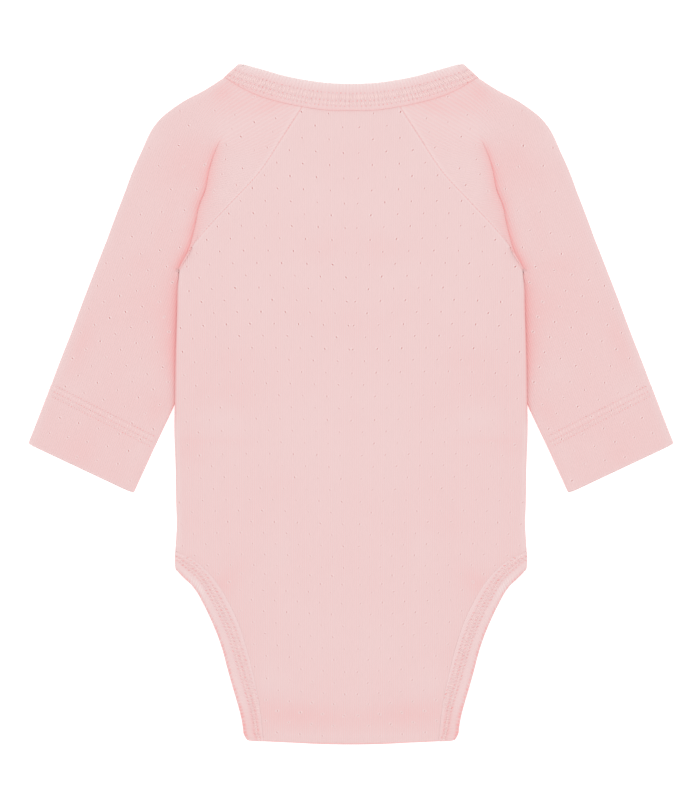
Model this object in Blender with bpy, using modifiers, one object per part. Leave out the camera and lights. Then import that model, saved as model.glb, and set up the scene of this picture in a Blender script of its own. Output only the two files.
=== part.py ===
"""Long-sleeved baby bodysuit, laid flat on a surface with its back up.

Lengths are in millimetres. +Y points to the neck, +X to the wearer's right
and +Z up, and the garment lies on the surface z = 0. The tables give the
wearer's right half, and the left half is its mirror.
"""
import math
from collections import namedtuple

import bmesh
import bpy
import numpy as np

MM = 0.001

# Driving sizes
CLOTH = 1.2                 # wall of the knit
HEM = 1.8                   # turned sleeve hem, two layers
PLACKET = 1.8               # turned crotch edges, two layers
STRIP = 1.8                 # folded leg binding
BAND = 2.2                  # folded neckband
SEAM = 0.3                  # space between two pieces at a seam
ROUNDING = 0.3              # rounding of the cloth edges
ROUNDED_ANGLE = 62.0        # edges sharper than this are rounded, in degrees
PILLOW_WIDTH = 28.0         # the body rises to its full height over this width
FLAP_UNDER = 2.3            # underside of the crotch flap
STRIP_UNDER = 2.1           # underside of the binding along the flap
STRIP_RAISED = 0.35         # binding above the back panel beside it
TUCK_LIFT = 3.35            # body edge above the sleeve that lies under it
ARM_LENGTH = 131.0          # from the armpit to the end of the cuff
HEM_DEPTH = 36.0
CUFF_HALF_WIDTH = 35.0
CUFF_ROUNDING = 0.5
FRONT_LEG_INSET = 2.5       # the front leg opening is cut this much higher

# Crotch, from the fold at the bottom to the end of the flap on the front
BOTTOM = -203.6             # the fold at the centre
TAB_BOTTOM = -203.9         # the front tab's end at the centre
BOTTOM_RISE = 1.7           # the fold is this much higher at its ends
FOLD_HALF_WIDTH = 53.0
FLAP_PLACKET = -196.0       # start of the flap's turned edge
FLAP_END = -172.0
FLAP_EDGE = 64.5            # half the flap's width with its binding
FLAP_ROWS = (-190.0, -181.0, FLAP_END)
TAB_PLACKET = -180.0        # start of the front tab's turned edge
BINDING_END = (10.2, 1.4)   # across the binding's end at the tab
TURN_START = 0.8            # a turned edge thickens over this length

# Snap fasteners
SNAP_Y = -187.5
SNAP_SPACING = 30.0
SNAP_RADIUS = 4.75
SNAP_CAP = 0.6
SNAP_LOW = 0.1              # underside of the lower caps
SOCKET_RADIUS = 2.5
BORE_RADIUS = 1.35
PIN_RADIUS = 1.0
FIT = 0.3                   # space round each snap half
PAST = 0.2                  # the snap holes are cut this far past the cloth
TURNED_STEPS = 16

# Sections along each piece
RAGLAN_ROWS = 11
SIDE_STATIONS = (76.5, 71.0, 64.0, 52.0, 38.0, 22.0, 6.0, -10.0, -26.0, -44.0, -62.0,
                 -78.0, -87.9)
LEG_ROWS = 10
ARM_SHARES = (0.035, 0.068, 0.11, 0.19, 0.29, 0.4, 0.52, 0.62)
HEM_ROWS = 3
NECK_ROWS = 9
FOLD_STEPS = 6

Point = namedtuple("Point", "x y")
Seam = namedtuple("Seam", "x y top")
Gap = namedtuple("Gap", "y centre edge")
Tuck = namedtuple("Tuck", "y width lift")
Level = namedtuple("Level", "station inner crest trough outer")
Lip = namedtuple("Lip", "past drop")

# Neck, from the centre to the shoulder fold
BACK_NECK_SEAM = (
    Seam(0.0, 176.4, 3.0), Seam(15.0, 177.0, 3.1), Seam(29.4, 178.8, 3.4),
    Seam(42.0, 181.6, 3.9), Seam(55.8, 185.9, 4.4), Seam(66.0, 190.1, 4.7),
    Seam(73.4, 194.2, 4.8),
)
BACK_NECK_TOP = (
    Seam(0.0, 191.4, 3.2), Seam(14.0, 192.2, 3.3), Seam(28.2, 194.5, 3.7),
    Seam(41.0, 197.4, 4.3), Seam(52.2, 200.4, 4.75), Seam(64.1, 203.2, 4.8),
)
FRONT_NECK_SEAM = (
    Point(0.0, 150.5), Point(18.0, 151.5), Point(36.0, 155.0), Point(54.0, 163.2),
    Point(66.0, 173.0), Point(72.4, 183.0), Point(75.2, 192.4),
)
FRONT_NECK_TOP = (
    Point(0.0, 165.5), Point(18.0, 166.6), Point(34.0, 170.6), Point(48.0, 178.6),
    Point(58.6, 189.4), Point(65.9, 201.4),
)
SHOULDER_FOLD = (0.695, 0.719)  # the way the shoulder fold faces
SIDE_FOLD = (0.96, 0.28)        # the way the leg binding's side fold faces
FRONT_PANEL_NECK = 0.44         # share of the front neck seam on the front panel
HALF_SEAM_SHARE = 0.0016        # half a seam's space as a share of that seam

# Raglan seams, from the neck to the armpit
ARMPIT = Point(102.8, 81.0)
BACK_RAGLAN = (
    Point(29.4, 178.8), Point(41.5, 160.5), Point(54.6, 141.0), Point(74.4, 119.4),
    Point(88.8, 103.8), Point(95.6, 94.6), ARMPIT,
)
FRONT_RAGLAN = (
    Point(60.0, 136.0), Point(80.0, 112.5), Point(93.0, 95.6), ARMPIT,
)

# Body, from the armpit down
SIDE = (
    ARMPIT, Point(103.8, 72.0), Point(104.4, 56.4), Point(105.2, 32.4),
    Point(105.7, 0.0), Point(106.0, -15.0), Point(105.3, -40.0), Point(105.0, -60.0),
    Point(104.6, -72.0), Point(105.1, -82.0), Point(105.5, -87.9),
)
LEG_SEAM = (
    Point(103.75, -89.0), Point(96.0, -94.2), Point(87.6, -101.4), Point(80.4, -110.4),
    Point(75.0, -120.0), Point(70.2, -129.8), Point(64.8, -145.8), Point(60.6, -162.0),
    Point(56.4, -180.0), Point(53.0, -200.2),
)
LEG_EDGE = (
    Point(103.75, -100.3), Point(98.6, -105.3), Point(92.6, -111.8), Point(84.6, -126.0),
    Point(80.4, -135.0), Point(76.2, -147.6), Point(71.8, -165.0), Point(67.9, -182.0),
    Point(63.2, -198.6),
)

# Space between the back and front panels
BODY_GAPS = (
    Gap(178.8, 0.6, 1.0), Gap(166.0, 1.4, 1.5), Gap(150.0, 1.45, 1.6),
    Gap(120.0, 1.3, 1.9), Gap(100.0, 1.2, 2.2), Gap(81.0, 1.1, 2.3),
    Gap(71.0, 1.1, 0.7), Gap(55.0, 1.0, 0.4), Gap(0.0, 1.0, 0.4),
    Gap(-70.0, 1.1, 0.5), Gap(-89.0, 1.2, 1.2), Gap(-150.0, 1.6, 1.3),
    Gap(-161.0, 2.6, 2.2), Gap(-169.0, 3.35, 3.35), Gap(-205.0, 3.35, 3.35),
)

# How far the sleeve reaches under the body, and its share of the edge's lift
TUCKS = (
    Tuck(82.0, 0.0, 0.0), Tuck(76.5, 0.0, 0.5), Tuck(71.0, 0.0, 0.95),
    Tuck(66.0, 2.0, 1.0), Tuck(50.0, 7.8, 1.0), Tuck(35.0, 9.8, 1.0),
    Tuck(18.0, 7.2, 1.0), Tuck(-2.0, 0.4, 1.0), Tuck(-14.0, 0.0, 0.55),
    Tuck(-32.0, 0.0, 0.0),
)
TUCK_MARGIN = 3.8           # the body stays lifted this far past the sleeve
TUCK_FADE = 19.0            # and comes down over this width

# Sleeves
SHOULDER = (
    Point(75.9, 195.0), Point(88.8, 188.4), Point(99.0, 182.4), Point(108.0, 176.4),
    Point(114.8, 170.4), Point(119.4, 164.4), Point(125.4, 152.4), Point(130.8, 140.4),
    Point(135.2, 128.4), Point(142.2, 110.4), Point(146.4, 98.4),
)
ARM_OUTSIDE = (
    Point(146.4, 98.4), Point(156.0, 74.4), Point(169.8, 38.4), Point(188.4, -9.6),
    Point(193.4, -22.2),
)
UNDERARM = (
    Point(102.95, 81.0), Point(103.65, 75.5), Point(104.05, 71.0), Point(102.4, 66.0),
    Point(99.0, 58.0), Point(96.2, 47.0), Point(95.6, 35.0), Point(98.6, 18.0),
    Point(106.3, -0.6), Point(118.1, -26.4), Point(129.9, -51.8),
)

# The crest of the sleeve's fold down to the armpit, and its line to the cuff
SLEEVE_FOLD = (
    Point(58.0, 187.0), Point(69.0, 172.0), Point(79.8, 156.6), Point(85.8, 140.4),
    Point(88.2, 127.8), Point(91.8, 118.8), Point(94.8, 106.2), Point(99.0, 92.0),
    Point(104.3, 81.3),
)
ARM_CREST = (
    Point(104.3, 81.3), Point(108.0, 71.0), Point(109.0, 50.0), Point(112.0, 30.0),
    Point(122.0, 0.0), Point(147.0, -43.0),
)
# Top of the upper layer at the inner seam, at the fold's two lips and at the
# outside. Stations run from the neck (0) over the armpit (1) to the hem (2).
SLEEVE_LEVELS = (
    Level(0.0, 3.4, 4.3, 4.3, 4.7), Level(0.12, 3.6, 4.2, 4.1, 4.4),
    Level(0.3, 3.95, 4.3, 3.8, 4.0), Level(0.5, 4.0, 4.5, 3.5, 3.6),
    Level(0.75, 4.45, 4.8, 3.1, 3.4), Level(1.0, 4.7, 4.65, 3.5, 3.4),
    Level(1.09, 2.75, 2.85, 2.85, 3.4), Level(1.8, 2.75, 2.9, 3.0, 3.4),
    Level(2.0, 3.95, 4.15, 4.15, 4.2), Level(3.0, 3.95, 4.2, 4.2, 4.2),
)
# From one lip of the fold to the other: distance past the crest, share of drop
FOLD_LIPS = (
    Lip(-2.0, 0.0), Lip(-0.4, 0.08), Lip(0.5, 0.42), Lip(1.3, 0.82), Lip(2.8, 1.0),
)
FOLD_ROOM = 3.5             # the fold narrows where it has less room than this
NARROWEST_FOLD = 0.4        # but keeps this share of its width

# Columns of a body panel: distances in from its edge, then shares of the rest
EDGE_COLUMNS = (0.0, 3.5, 8.0, 13.0, 19.0, 26.0)
INNER_COLUMNS = (0.66, 0.33, 0.0)
FULL_WIDTH = 62.0           # narrower rows draw their edge columns together
SLEEVE_UPPER_COLUMNS = 3    # between the fold and the outside of the sleeve
SLEEVE_UNDER_COLUMNS = 5

PINK = (0.871, 0.631, 0.617)
TRIM_PINK = (0.871, 0.623, 0.612)
SNAP_WHITE = (0.80, 0.76, 0.75)


def smooth(share):
    """Ease from 0 to 1."""
    share = min(max(share, 0.0), 1.0)
    return share * share * (3.0 - 2.0 * share)


def through(stations, values, level=False):
    """A smooth function through the values at the stations.

    A level one never passes above or below its neighbouring values.
    """
    stations = np.asarray(stations, dtype=float)
    values = np.asarray(values, dtype=float)
    if stations[0] > stations[-1]:
        stations, values = stations[::-1], values[::-1]
    slopes = np.gradient(values, stations, axis=0)
    if level:
        chords = np.diff(values) / np.diff(stations)
        before = np.concatenate((chords[:1], chords))
        after = np.concatenate((chords, chords[-1:]))
        limit = 3.0 * np.minimum(abs(before), abs(after)) * (before * after > 0.0)
        slopes = np.clip(slopes, -limit, limit)

    def value(station):
        station = min(max(station, stations[0]), stations[-1])
        i = int(np.clip(np.searchsorted(stations, station) - 1, 0, len(stations) - 2))
        span = stations[i + 1] - stations[i]
        t = (station - stations[i]) / span
        rise = 3.0 * t ** 2 - 2.0 * t ** 3
        start = (t - 2.0 * t ** 2 + t ** 3) * span * slopes[i]
        end = (t ** 3 - t ** 2) * span * slopes[i + 1]
        return values[i] * (1.0 - rise) + values[i + 1] * rise + start + end

    return value


def column(table, name):
    """A named column of a table as a function of the table's first column."""
    stations = [row[0] for row in table]
    return through(stations, [getattr(row, name) for row in table], level=True)


def curve(points):
    """A smooth curve through the points, by its share of length."""
    knots = np.array([(point.x, point.y) for point in points])
    chords = np.linalg.norm(np.diff(knots, axis=0), axis=1)
    stations = np.concatenate(([0.0], np.cumsum(chords)))
    place = through(stations, knots)
    fine = np.array([place(s) for s in np.linspace(0.0, stations[-1], 30 * len(knots))])
    steps = np.linalg.norm(np.diff(fine, axis=0), axis=1)
    lengths = np.concatenate(([0.0], np.cumsum(steps)))
    lengths /= lengths[-1]

    def at(share):
        return np.array([np.interp(share, lengths, axis) for axis in fine.T])

    return at


def beside(line, share, distance):
    """A point to the right of a curve, for someone who walks along it."""
    along = line(min(share + 0.01, 1.0)) - line(max(share - 0.01, 0.0))
    along /= np.linalg.norm(along)
    return line(share) + distance * np.array((along[1], -along[0]))


def mix(first, second, share):
    return first + (second - first) * share


back_neck_y = column(BACK_NECK_SEAM, "y")
back_neck_level = column(BACK_NECK_SEAM, "top")
band_level = column(BACK_NECK_TOP, "top")
gap_centre = column(BODY_GAPS, "centre")
gap_edge = column(BODY_GAPS, "edge")
tuck_width = column(TUCKS, "width")
tuck_lift = column(TUCKS, "lift")
back_neck_seam = curve(BACK_NECK_SEAM)
back_neck_top = curve(BACK_NECK_TOP)
front_neck_seam = curve(FRONT_NECK_SEAM)
front_neck_top = curve(FRONT_NECK_TOP)
back_raglan = curve(BACK_RAGLAN)
front_raglan = curve((Point(*front_neck_seam(FRONT_PANEL_NECK)),) + FRONT_RAGLAN)
side_x = through([point.y for point in SIDE], [point.x for point in SIDE])
leg_seam = curve(LEG_SEAM)
leg_edge = curve(LEG_EDGE)
shoulder = curve(SHOULDER)
arm_outside = curve(ARM_OUTSIDE)
underarm = curve(UNDERARM)
sleeve_fold = curve(SLEEVE_FOLD)
arm_crest = curve(ARM_CREST)


def body_lift(y, inset):
    """How far the sleeve lifts the body, at an inset from the side."""
    past = inset - tuck_width(y) - TUCK_MARGIN
    return TUCK_LIFT * tuck_lift(y) * (1.0 - smooth(past / TUCK_FADE))


def body_top(y, inset):
    """Top of the back panel, at an inset from its edge."""
    gap = mix(gap_edge(y), gap_centre(y), smooth(inset / PILLOW_WIDTH))
    return body_lift(y, inset) + 2.0 * CLOTH + gap


def front_inset(share):
    """How much further in the front leg opening is than the back one."""
    return FRONT_LEG_INSET * smooth(4.0 * share)


def bottom_line(bottom, x):
    """The crotch fold or the tab's end, a little higher at its ends."""
    return bottom + BOTTOM_RISE * (x / FOLD_HALF_WIDTH) ** 2


def panel_columns(half_width):
    """Columns from the centre of a body panel to its edge."""
    narrow = min(1.0, half_width / FULL_WIDTH)
    outer = [half_width - inset * narrow for inset in EDGE_COLUMNS]
    inner = [outer[-1] * share for share in INNER_COLUMNS]
    return sorted(outer + inner)


def panel_edges(raglan, inset):
    """Edge points of a body panel, from the neck to the crotch."""
    points = [beside(raglan, i / RAGLAN_ROWS, SEAM / 2.0) for i in range(RAGLAN_ROWS)]
    points.append(np.array((ARMPIT.x - SEAM / 2.0, ARMPIT.y)))
    points += [np.array((side_x(y) - SEAM / 2.0, y)) for y in SIDE_STATIONS]
    points += [beside(leg_seam, i / LEG_ROWS, inset(i / LEG_ROWS)) for i in range(LEG_ROWS + 1)]
    return points


def panel_row(edge, centre_y, height):
    """Half a row of a body panel, from the centre to its edge point."""
    row = []
    for x in panel_columns(edge[0]):
        y = mix(centre_y, edge[1], (x / edge[0]) ** 2)
        row.append((x, y, height(y, edge[0] - x)))
    return row


def crotch_centre(index, edge_y):
    """Rows follow the crotch fold more and more towards the bottom."""
    share = (index - RAGLAN_ROWS - len(SIDE_STATIONS)) / LEG_ROWS
    return edge_y - BOTTOM_RISE * smooth(share)


def material_of(name, color, roughness):
    material = bpy.data.materials.new(name)
    material.use_nodes = True
    shader = material.node_tree.nodes["Principled BSDF"]
    shader.inputs["Base Color"].default_value = (*color, 1.0)
    shader.inputs["Roughness"].default_value = roughness
    return material


def add_object(name, mesh, material, collection):
    mesh.materials.append(material)
    obj = bpy.data.objects.new(name, mesh)
    collection.objects.link(obj)
    return obj


def cloth_piece(name, rows, walls, material, collection, reverse=False, mirror=False):
    """A cloth piece: a grid on its outer surface, thickened inwards.

    walls gives the thickness at each row.
    """
    row_count, column_count = len(rows), len(rows[0])
    bm = bmesh.new()
    bmesh.ops.create_grid(bm, x_segments=column_count - 1, y_segments=row_count - 1, size=1.0)
    thickest = max(walls)
    shares = []
    for vert in bm.verts:
        c = round((vert.co.x + 1.0) / 2.0 * (column_count - 1))
        r = round((vert.co.y + 1.0) / 2.0 * (row_count - 1))
        vert.co = [length * MM for length in rows[r][c]]
        shares.append(walls[r] / thickest)
    if reverse:
        bmesh.ops.reverse_faces(bm, faces=bm.faces)
    mesh = bpy.data.meshes.new(name)
    bm.to_mesh(mesh)
    bm.free()
    mesh.shade_smooth()
    obj = add_object(name, mesh, material, collection)
    if mirror:
        half = obj.modifiers.new("other half", "MIRROR")
        half.merge_threshold = 0.0001
    group = obj.vertex_groups.new(name="wall")
    for index, share in enumerate(shares):
        group.add([index], share, "REPLACE")
    solid = obj.modifiers.new("wall", "SOLIDIFY")
    solid.thickness = thickest * MM
    solid.offset = -1.0
    solid.use_even_offset = True
    solid.vertex_group = group.name
    rounded = obj.modifiers.new("edges", "BEVEL")
    rounded.limit_method = "ANGLE"
    rounded.angle_limit = math.radians(ROUNDED_ANGLE)
    rounded.width = ROUNDING * MM
    rounded.segments = 1
    return obj


def other_side(rows):
    """The same rows on the wearer's left."""
    return [[(-x, y, z) for x, y, z in row] for row in rows]


def make_back_panel(material, collection):
    """From the neck to the crotch, round its fold and up along the flap."""
    rows = []
    for index, edge in enumerate(panel_edges(back_raglan, lambda share: 0.0)[:-1]):
        sag = BACK_NECK_SEAM[0].y - BACK_RAGLAN[0].y
        centre_y = edge[1] + sag * (1.0 - smooth(index / RAGLAN_ROWS))
        if index > RAGLAN_ROWS + len(SIDE_STATIONS):
            centre_y = crotch_centre(index, edge[1])
        rows.append(panel_row(edge, centre_y, body_top))
    rows[0] = [(x, back_neck_y(x), back_neck_level(x)) for x, y, z in rows[0]]
    across = panel_columns(FOLD_HALF_WIDTH)
    top = body_top(BOTTOM, 0.0)
    radius = (top - FLAP_UNDER) / 2.0
    for step in range(FOLD_STEPS + 1):
        turn = math.pi * step / FOLD_STEPS
        rows.append([(x, bottom_line(BOTTOM, x) + radius * (1.0 - math.sin(turn)),
                      FLAP_UNDER + radius * (1.0 + math.cos(turn))) for x in across])
    walls = [CLOTH] * len(rows)
    middle = (FLAP_PLACKET + FLAP_END) / 2.0
    for y in (FLAP_PLACKET - TURN_START, FLAP_PLACKET, middle, FLAP_END):
        rows.append([(x, y, FLAP_UNDER) for x in across])
        walls.append(PLACKET if y >= FLAP_PLACKET else CLOTH)
    return cloth_piece("back_panel", rows, walls, material, collection,
                       reverse=True, mirror=True)


def front_neck_shares():
    """Where the front panel's columns meet the front neck seam."""
    end = FRONT_PANEL_NECK - HALF_SEAM_SHARE
    width = front_neck_seam(end)[0]
    return [end * x / width for x in panel_columns(width)]


def sleeve_neck_shares():
    """Where the sleeve's columns meet the front neck seam, from the shoulder."""
    end = FRONT_PANEL_NECK + HALF_SEAM_SHARE
    return [mix(1.0, end, i / SLEEVE_UNDER_COLUMNS) for i in range(SLEEVE_UNDER_COLUMNS + 1)]


def make_front_panel(material, collection):
    """Lies on the surface, from the neck down to the end of the crotch tab."""
    edges = panel_edges(front_raglan, front_inset)
    neck = [front_neck_seam(share) for share in front_neck_shares()]
    drop = neck[-1][1] - neck[0][1]
    rows = [[(x, y, 0.0) for x, y in neck]]
    for index, edge in enumerate(edges[1:], start=1):
        centre_y = edge[1] - drop * max(1.0 - index / RAGLAN_ROWS, 0.0) ** 1.5
        if index > RAGLAN_ROWS + len(SIDE_STATIONS):
            centre_y = crotch_centre(index, edge[1])
        rows.append(panel_row(edge, centre_y, body_lift))
    for y in (TAB_PLACKET, TAB_PLACKET - TURN_START):
        after = next(i for i, row in enumerate(rows) if row[-1][1] < y)
        (x_above, y_above, z), (x_below, y_below, z) = rows[after - 1][-1], rows[after][-1]
        x = mix(x_above, x_below, (y - y_above) / (y_below - y_above))
        rows.insert(after, panel_row((x, y), crotch_centre(after, y), body_lift))
    rows.append([(x, bottom_line(TAB_BOTTOM, x), 0.0)
                 for x in panel_columns(FOLD_HALF_WIDTH - FRONT_LEG_INSET)])
    walls = [PLACKET if row[-1][1] < TAB_PLACKET - TURN_START / 2.0 else CLOTH for row in rows]
    return cloth_piece("front_panel", rows, walls, material, collection, mirror=True)


def sleeve_stations():
    """Zone, share of the zone and station of each sleeve row, and its wall."""
    stations = [("raglan", i / RAGLAN_ROWS, i / RAGLAN_ROWS, CLOTH)
                for i in range(RAGLAN_ROWS + 1)]
    hem = 1.0 - HEM_DEPTH / ARM_LENGTH
    stations += [("arm", share, 1.0 + share / hem, CLOTH) for share in ARM_SHARES]
    stations.append(("arm", hem - TURN_START / ARM_LENGTH, 2.0, CLOTH))
    stations += [("arm", mix(hem, 1.0, i / HEM_ROWS), 2.0 + i / HEM_ROWS, HEM)
                 for i in range(HEM_ROWS + 1)]
    return stations


def arc_row(start, end, facing, top, under):
    """Points round a fold, from the upper layer to the lower one."""
    radius = (top - under) / 2.0
    points = []
    for step in range(FOLD_STEPS + 1):
        turn = math.pi * (0.5 - step / FOLD_STEPS)
        place = mix(start, end, step / FOLD_STEPS) + radius * math.cos(turn) * np.array(facing)
        points.append((place[0], place[1], under + radius * (1.0 + math.sin(turn))))
    return points


def sleeve_row(zone, share, station):
    """One section of the sleeve, from the back seam round to the front seam."""
    inner_top, crest_top, trough_top, outer_top = (
        column(SLEEVE_LEVELS, name)(station) for name in Level._fields[1:])
    if zone == "raglan":
        inner = beside(back_raglan, share, -SEAM / 2.0)
        under = beside(front_raglan, share, -SEAM / 2.0)
        crest, outline = sleeve_fold(share), shoulder
    else:
        inner = under = underarm(share)
        crest, outline = arm_crest(share), arm_outside
    radius = outer_top / 2.0
    centre = beside(outline, share, radius)
    facing = (outline(share) - centre) / radius
    across = (centre - inner) / np.linalg.norm(centre - inner)
    narrow = min(max(np.linalg.norm(crest - inner) / FOLD_ROOM, NARROWEST_FOLD), 1.0)
    lip = crest + across * FOLD_LIPS[0].past * narrow
    row = [(*inner, inner_top)]
    row.append((*mix(inner, lip, 0.5), mix(inner_top, crest_top, 0.5)))
    for lip in FOLD_LIPS:
        place = crest + across * lip.past * narrow
        row.append((*place, mix(crest_top, trough_top, lip.drop)))
    trough = np.array(row[-1][:2])
    for i in range(1, SLEEVE_UPPER_COLUMNS + 1):
        step = i / (SLEEVE_UPPER_COLUMNS + 1)
        row.append((*mix(trough, centre, step), mix(trough_top, outer_top, smooth(step))))
    row += arc_row(centre, centre, facing, outer_top, 0.0)
    for i in range(1, SLEEVE_UNDER_COLUMNS + 1):
        row.append((*mix(centre, under, i / SLEEVE_UNDER_COLUMNS), 0.0))
    return row


def sleeve_neck_row(next_row):
    """The sleeve's first row, along the neck seam and round the shoulder fold."""
    shoulder_back, shoulder_front = back_neck_seam(1.0), front_neck_seam(1.0)
    start = beside(back_raglan, 0.0, -SEAM / 2.0)[0]
    upper = next_row[:len(FOLD_LIPS) + 2 + SLEEVE_UPPER_COLUMNS]
    widest = next_row[len(upper)][0]
    row = []
    for x, y, z in upper:
        x = mix(start, shoulder_back[0], (x - upper[0][0]) / (widest - upper[0][0]))
        row.append((x, back_neck_y(x), back_neck_level(x)))
    row += arc_row(shoulder_back, shoulder_front, SHOULDER_FOLD, BACK_NECK_SEAM[-1].top, 0.0)
    row += [(*front_neck_seam(share), 0.0) for share in sleeve_neck_shares()[1:]]
    return row


def sleeve_rows():
    stations = sleeve_stations()
    rows = [sleeve_row(zone, share, station) for zone, share, station, wall in stations]
    rows[0] = sleeve_neck_row(rows[1])
    walls = [wall for zone, share, station, wall in stations]
    last = np.array(rows[-1])
    before = np.array(rows[-2])
    along = last[0] - before[0] + last[-len(FOLD_LIPS)] - before[-len(FOLD_LIPS)]
    along[2] = 0.0
    along /= np.linalg.norm(along)
    middle = last.mean(axis=0)
    spread = last - middle
    spread[:, :2] *= 1.0 - CUFF_ROUNDING / CUFF_HALF_WIDTH
    rows.append([tuple(point) for point in middle + spread + along])
    walls.append(HEM)
    return rows, walls


def make_sleeves(material, collection):
    rows, walls = sleeve_rows()
    cloth_piece("right_sleeve", rows, walls, material, collection, reverse=True)
    cloth_piece("left_sleeve", other_side(rows), walls, material, collection)


def strip_row(seam, edge, seam_z, edge_z):
    """Three points across a strip, 0.3 mm off the panel it is sewn to."""
    off = SEAM * (edge - seam) / np.linalg.norm(edge - seam)
    seam = seam + off
    middle = (seam + edge) / 2.0
    return [(*seam, seam_z), (*middle, (seam_z + edge_z) / 2.0), (*edge, edge_z)]


def folded_strip(start, end, facing, top, under, upwards=False):
    """Rows of a strip round a fold; start and end are (seam, edge) pairs."""
    seams = arc_row(start[0], end[0], facing, top, under)
    edges = arc_row(start[1], end[1], facing, top, under)
    rows = []
    for seam, edge in zip(seams, edges):
        rows.append(strip_row(np.array(seam[:2]), np.array(edge[:2]), seam[2], edge[2]))
    return rows[::-1] if upwards else rows


def binding_rows():
    """From the front tab up over the side, down the back and up the flap."""
    rows = []
    tab_seam = np.array((FOLD_HALF_WIDTH - FRONT_LEG_INSET,
                         bottom_line(TAB_BOTTOM, FOLD_HALF_WIDTH - FRONT_LEG_INSET)))
    rows.append(strip_row(tab_seam, tab_seam + np.array(BINDING_END), 0.0, 0.0))
    for i in range(LEG_ROWS, 0, -1):
        share = i / LEG_ROWS
        seam = beside(leg_seam, share, front_inset(share))
        edge = beside(leg_edge, share, front_inset(share))
        rows.append(strip_row(seam, edge, 0.0, 0.0))
    crease = (leg_seam(0.0), leg_edge(0.0))
    top = body_top(crease[0][1], 0.0) + STRIP_RAISED
    rows += folded_strip(crease, crease, SIDE_FOLD, top, 0.0, upwards=True)
    for i in range(1, LEG_ROWS):
        share = i / LEG_ROWS
        top = body_top(leg_seam(share)[1], 0.0) + STRIP_RAISED
        rows.append(strip_row(leg_seam(share), leg_edge(share), top, top))
    crease = (leg_seam(1.0), leg_edge(1.0))
    along = (crease[1] - crease[0]) / np.linalg.norm(crease[1] - crease[0])
    top = body_top(BOTTOM, 0.0) + STRIP_RAISED
    rows += folded_strip(crease, crease, (along[1], -along[0]), top, STRIP_UNDER)
    for y in FLAP_ROWS:
        rows.append(strip_row(np.array((FOLD_HALF_WIDTH, y)), np.array((FLAP_EDGE, y)),
                              STRIP_UNDER, STRIP_UNDER))
    return rows


def make_bindings(material, collection):
    rows = binding_rows()
    walls = [STRIP] * len(rows)
    cloth_piece("right_leg_binding", rows, walls, material, collection, reverse=True)
    cloth_piece("left_leg_binding", other_side(rows), walls, material, collection)


def make_neckband(material, collection):
    """Half of the band from the back's centre over the shoulder to the front."""
    rows = []
    for i in range(NECK_ROWS):
        share = i / NECK_ROWS
        seam, top = back_neck_seam(share), back_neck_top(share)
        level = band_level(top[0])
        rows.append(strip_row(seam, top, level, level))
    rows += folded_strip((back_neck_seam(1.0), back_neck_top(1.0)),
                         (front_neck_seam(1.0), front_neck_top(1.0)),
                         SHOULDER_FOLD, BACK_NECK_TOP[-1].top, 0.0)
    shares = sleeve_neck_shares()[1:-1] + front_neck_shares()[::-1]
    for share in shares:
        rows.append(strip_row(front_neck_seam(share), front_neck_top(share), 0.0, 0.0))
    walls = [BAND] * len(rows)
    return cloth_piece("neckband", rows, walls, material, collection, reverse=True, mirror=True)


def turned(name, profile, x, material, collection):
    """A turned piece from its outline of radius and height, top first."""
    mesh = bpy.data.meshes.new(name)
    points = [(radius * MM, 0.0, height * MM) for radius, height in profile]
    mesh.from_pydata(points, [(i, i + 1) for i in range(len(points) - 1)], [])
    obj = add_object(name, mesh, material, collection)
    obj.location = (x * MM, SNAP_Y * MM, 0.0)
    screw = obj.modifiers.new("turn", "SCREW")
    screw.steps = TURNED_STEPS
    screw.render_steps = TURNED_STEPS
    screw.use_merge_vertices = True
    screw.merge_threshold = 0.00005
    return obj


def cut(obj, cutters):
    """Cut a collection of cutters out of a piece."""
    hole = obj.modifiers.new("snap holes", "BOOLEAN")
    hole.operation = "DIFFERENCE"
    hole.solver = "EXACT"
    hole.operand_type = "COLLECTION"
    hole.collection = cutters


def make_snaps(material, collection, tab_cutters, flap_cutters):
    """Each snap is a socket half on the tab and a stud half on the flap."""
    flap_top = FLAP_UNDER + PLACKET
    cap_top = SNAP_LOW + SNAP_CAP
    stud_under = flap_top - SNAP_CAP
    socket_top = stud_under - 2.0 * FIT
    bore_floor = cap_top + FIT
    socket = ((0.0, bore_floor), (BORE_RADIUS, bore_floor), (BORE_RADIUS, socket_top),
              (SOCKET_RADIUS, socket_top), (SOCKET_RADIUS, cap_top),
              (SNAP_RADIUS, cap_top), (SNAP_RADIUS, SNAP_LOW), (0.0, SNAP_LOW))
    stud = ((0.0, flap_top), (SNAP_RADIUS, flap_top), (SNAP_RADIUS, stud_under),
            (PIN_RADIUS, stud_under), (PIN_RADIUS, bore_floor + FIT),
            (0.0, bore_floor + FIT))
    wide, narrow = SNAP_RADIUS + FIT, SOCKET_RADIUS + FIT
    tab_hole = ((0.0, PLACKET + PAST), (narrow, PLACKET + PAST), (narrow, cap_top + FIT),
                (wide, cap_top + FIT), (wide, -PAST), (0.0, -PAST))
    flap_hole = ((0.0, flap_top + PAST), (wide, flap_top + PAST), (wide, stud_under - FIT),
                 (narrow, stud_under - FIT), (narrow, FLAP_UNDER - PAST), (0.0, FLAP_UNDER - PAST))
    for number in (1, 2, 3):
        x = SNAP_SPACING * (number - 2)
        turned(f"snap_socket_{number}", socket, x, material, collection)
        turned(f"snap_stud_{number}", stud, x, material, collection)
        for name, hole, holes in (("tab_hole", tab_hole, tab_cutters),
                                  ("flap_hole", flap_hole, flap_cutters)):
            cutter = turned(f"{name}_{number}", hole, x, material, holes)
            cutter.hide_render = True
            cutter.display_type = "WIRE"


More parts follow.
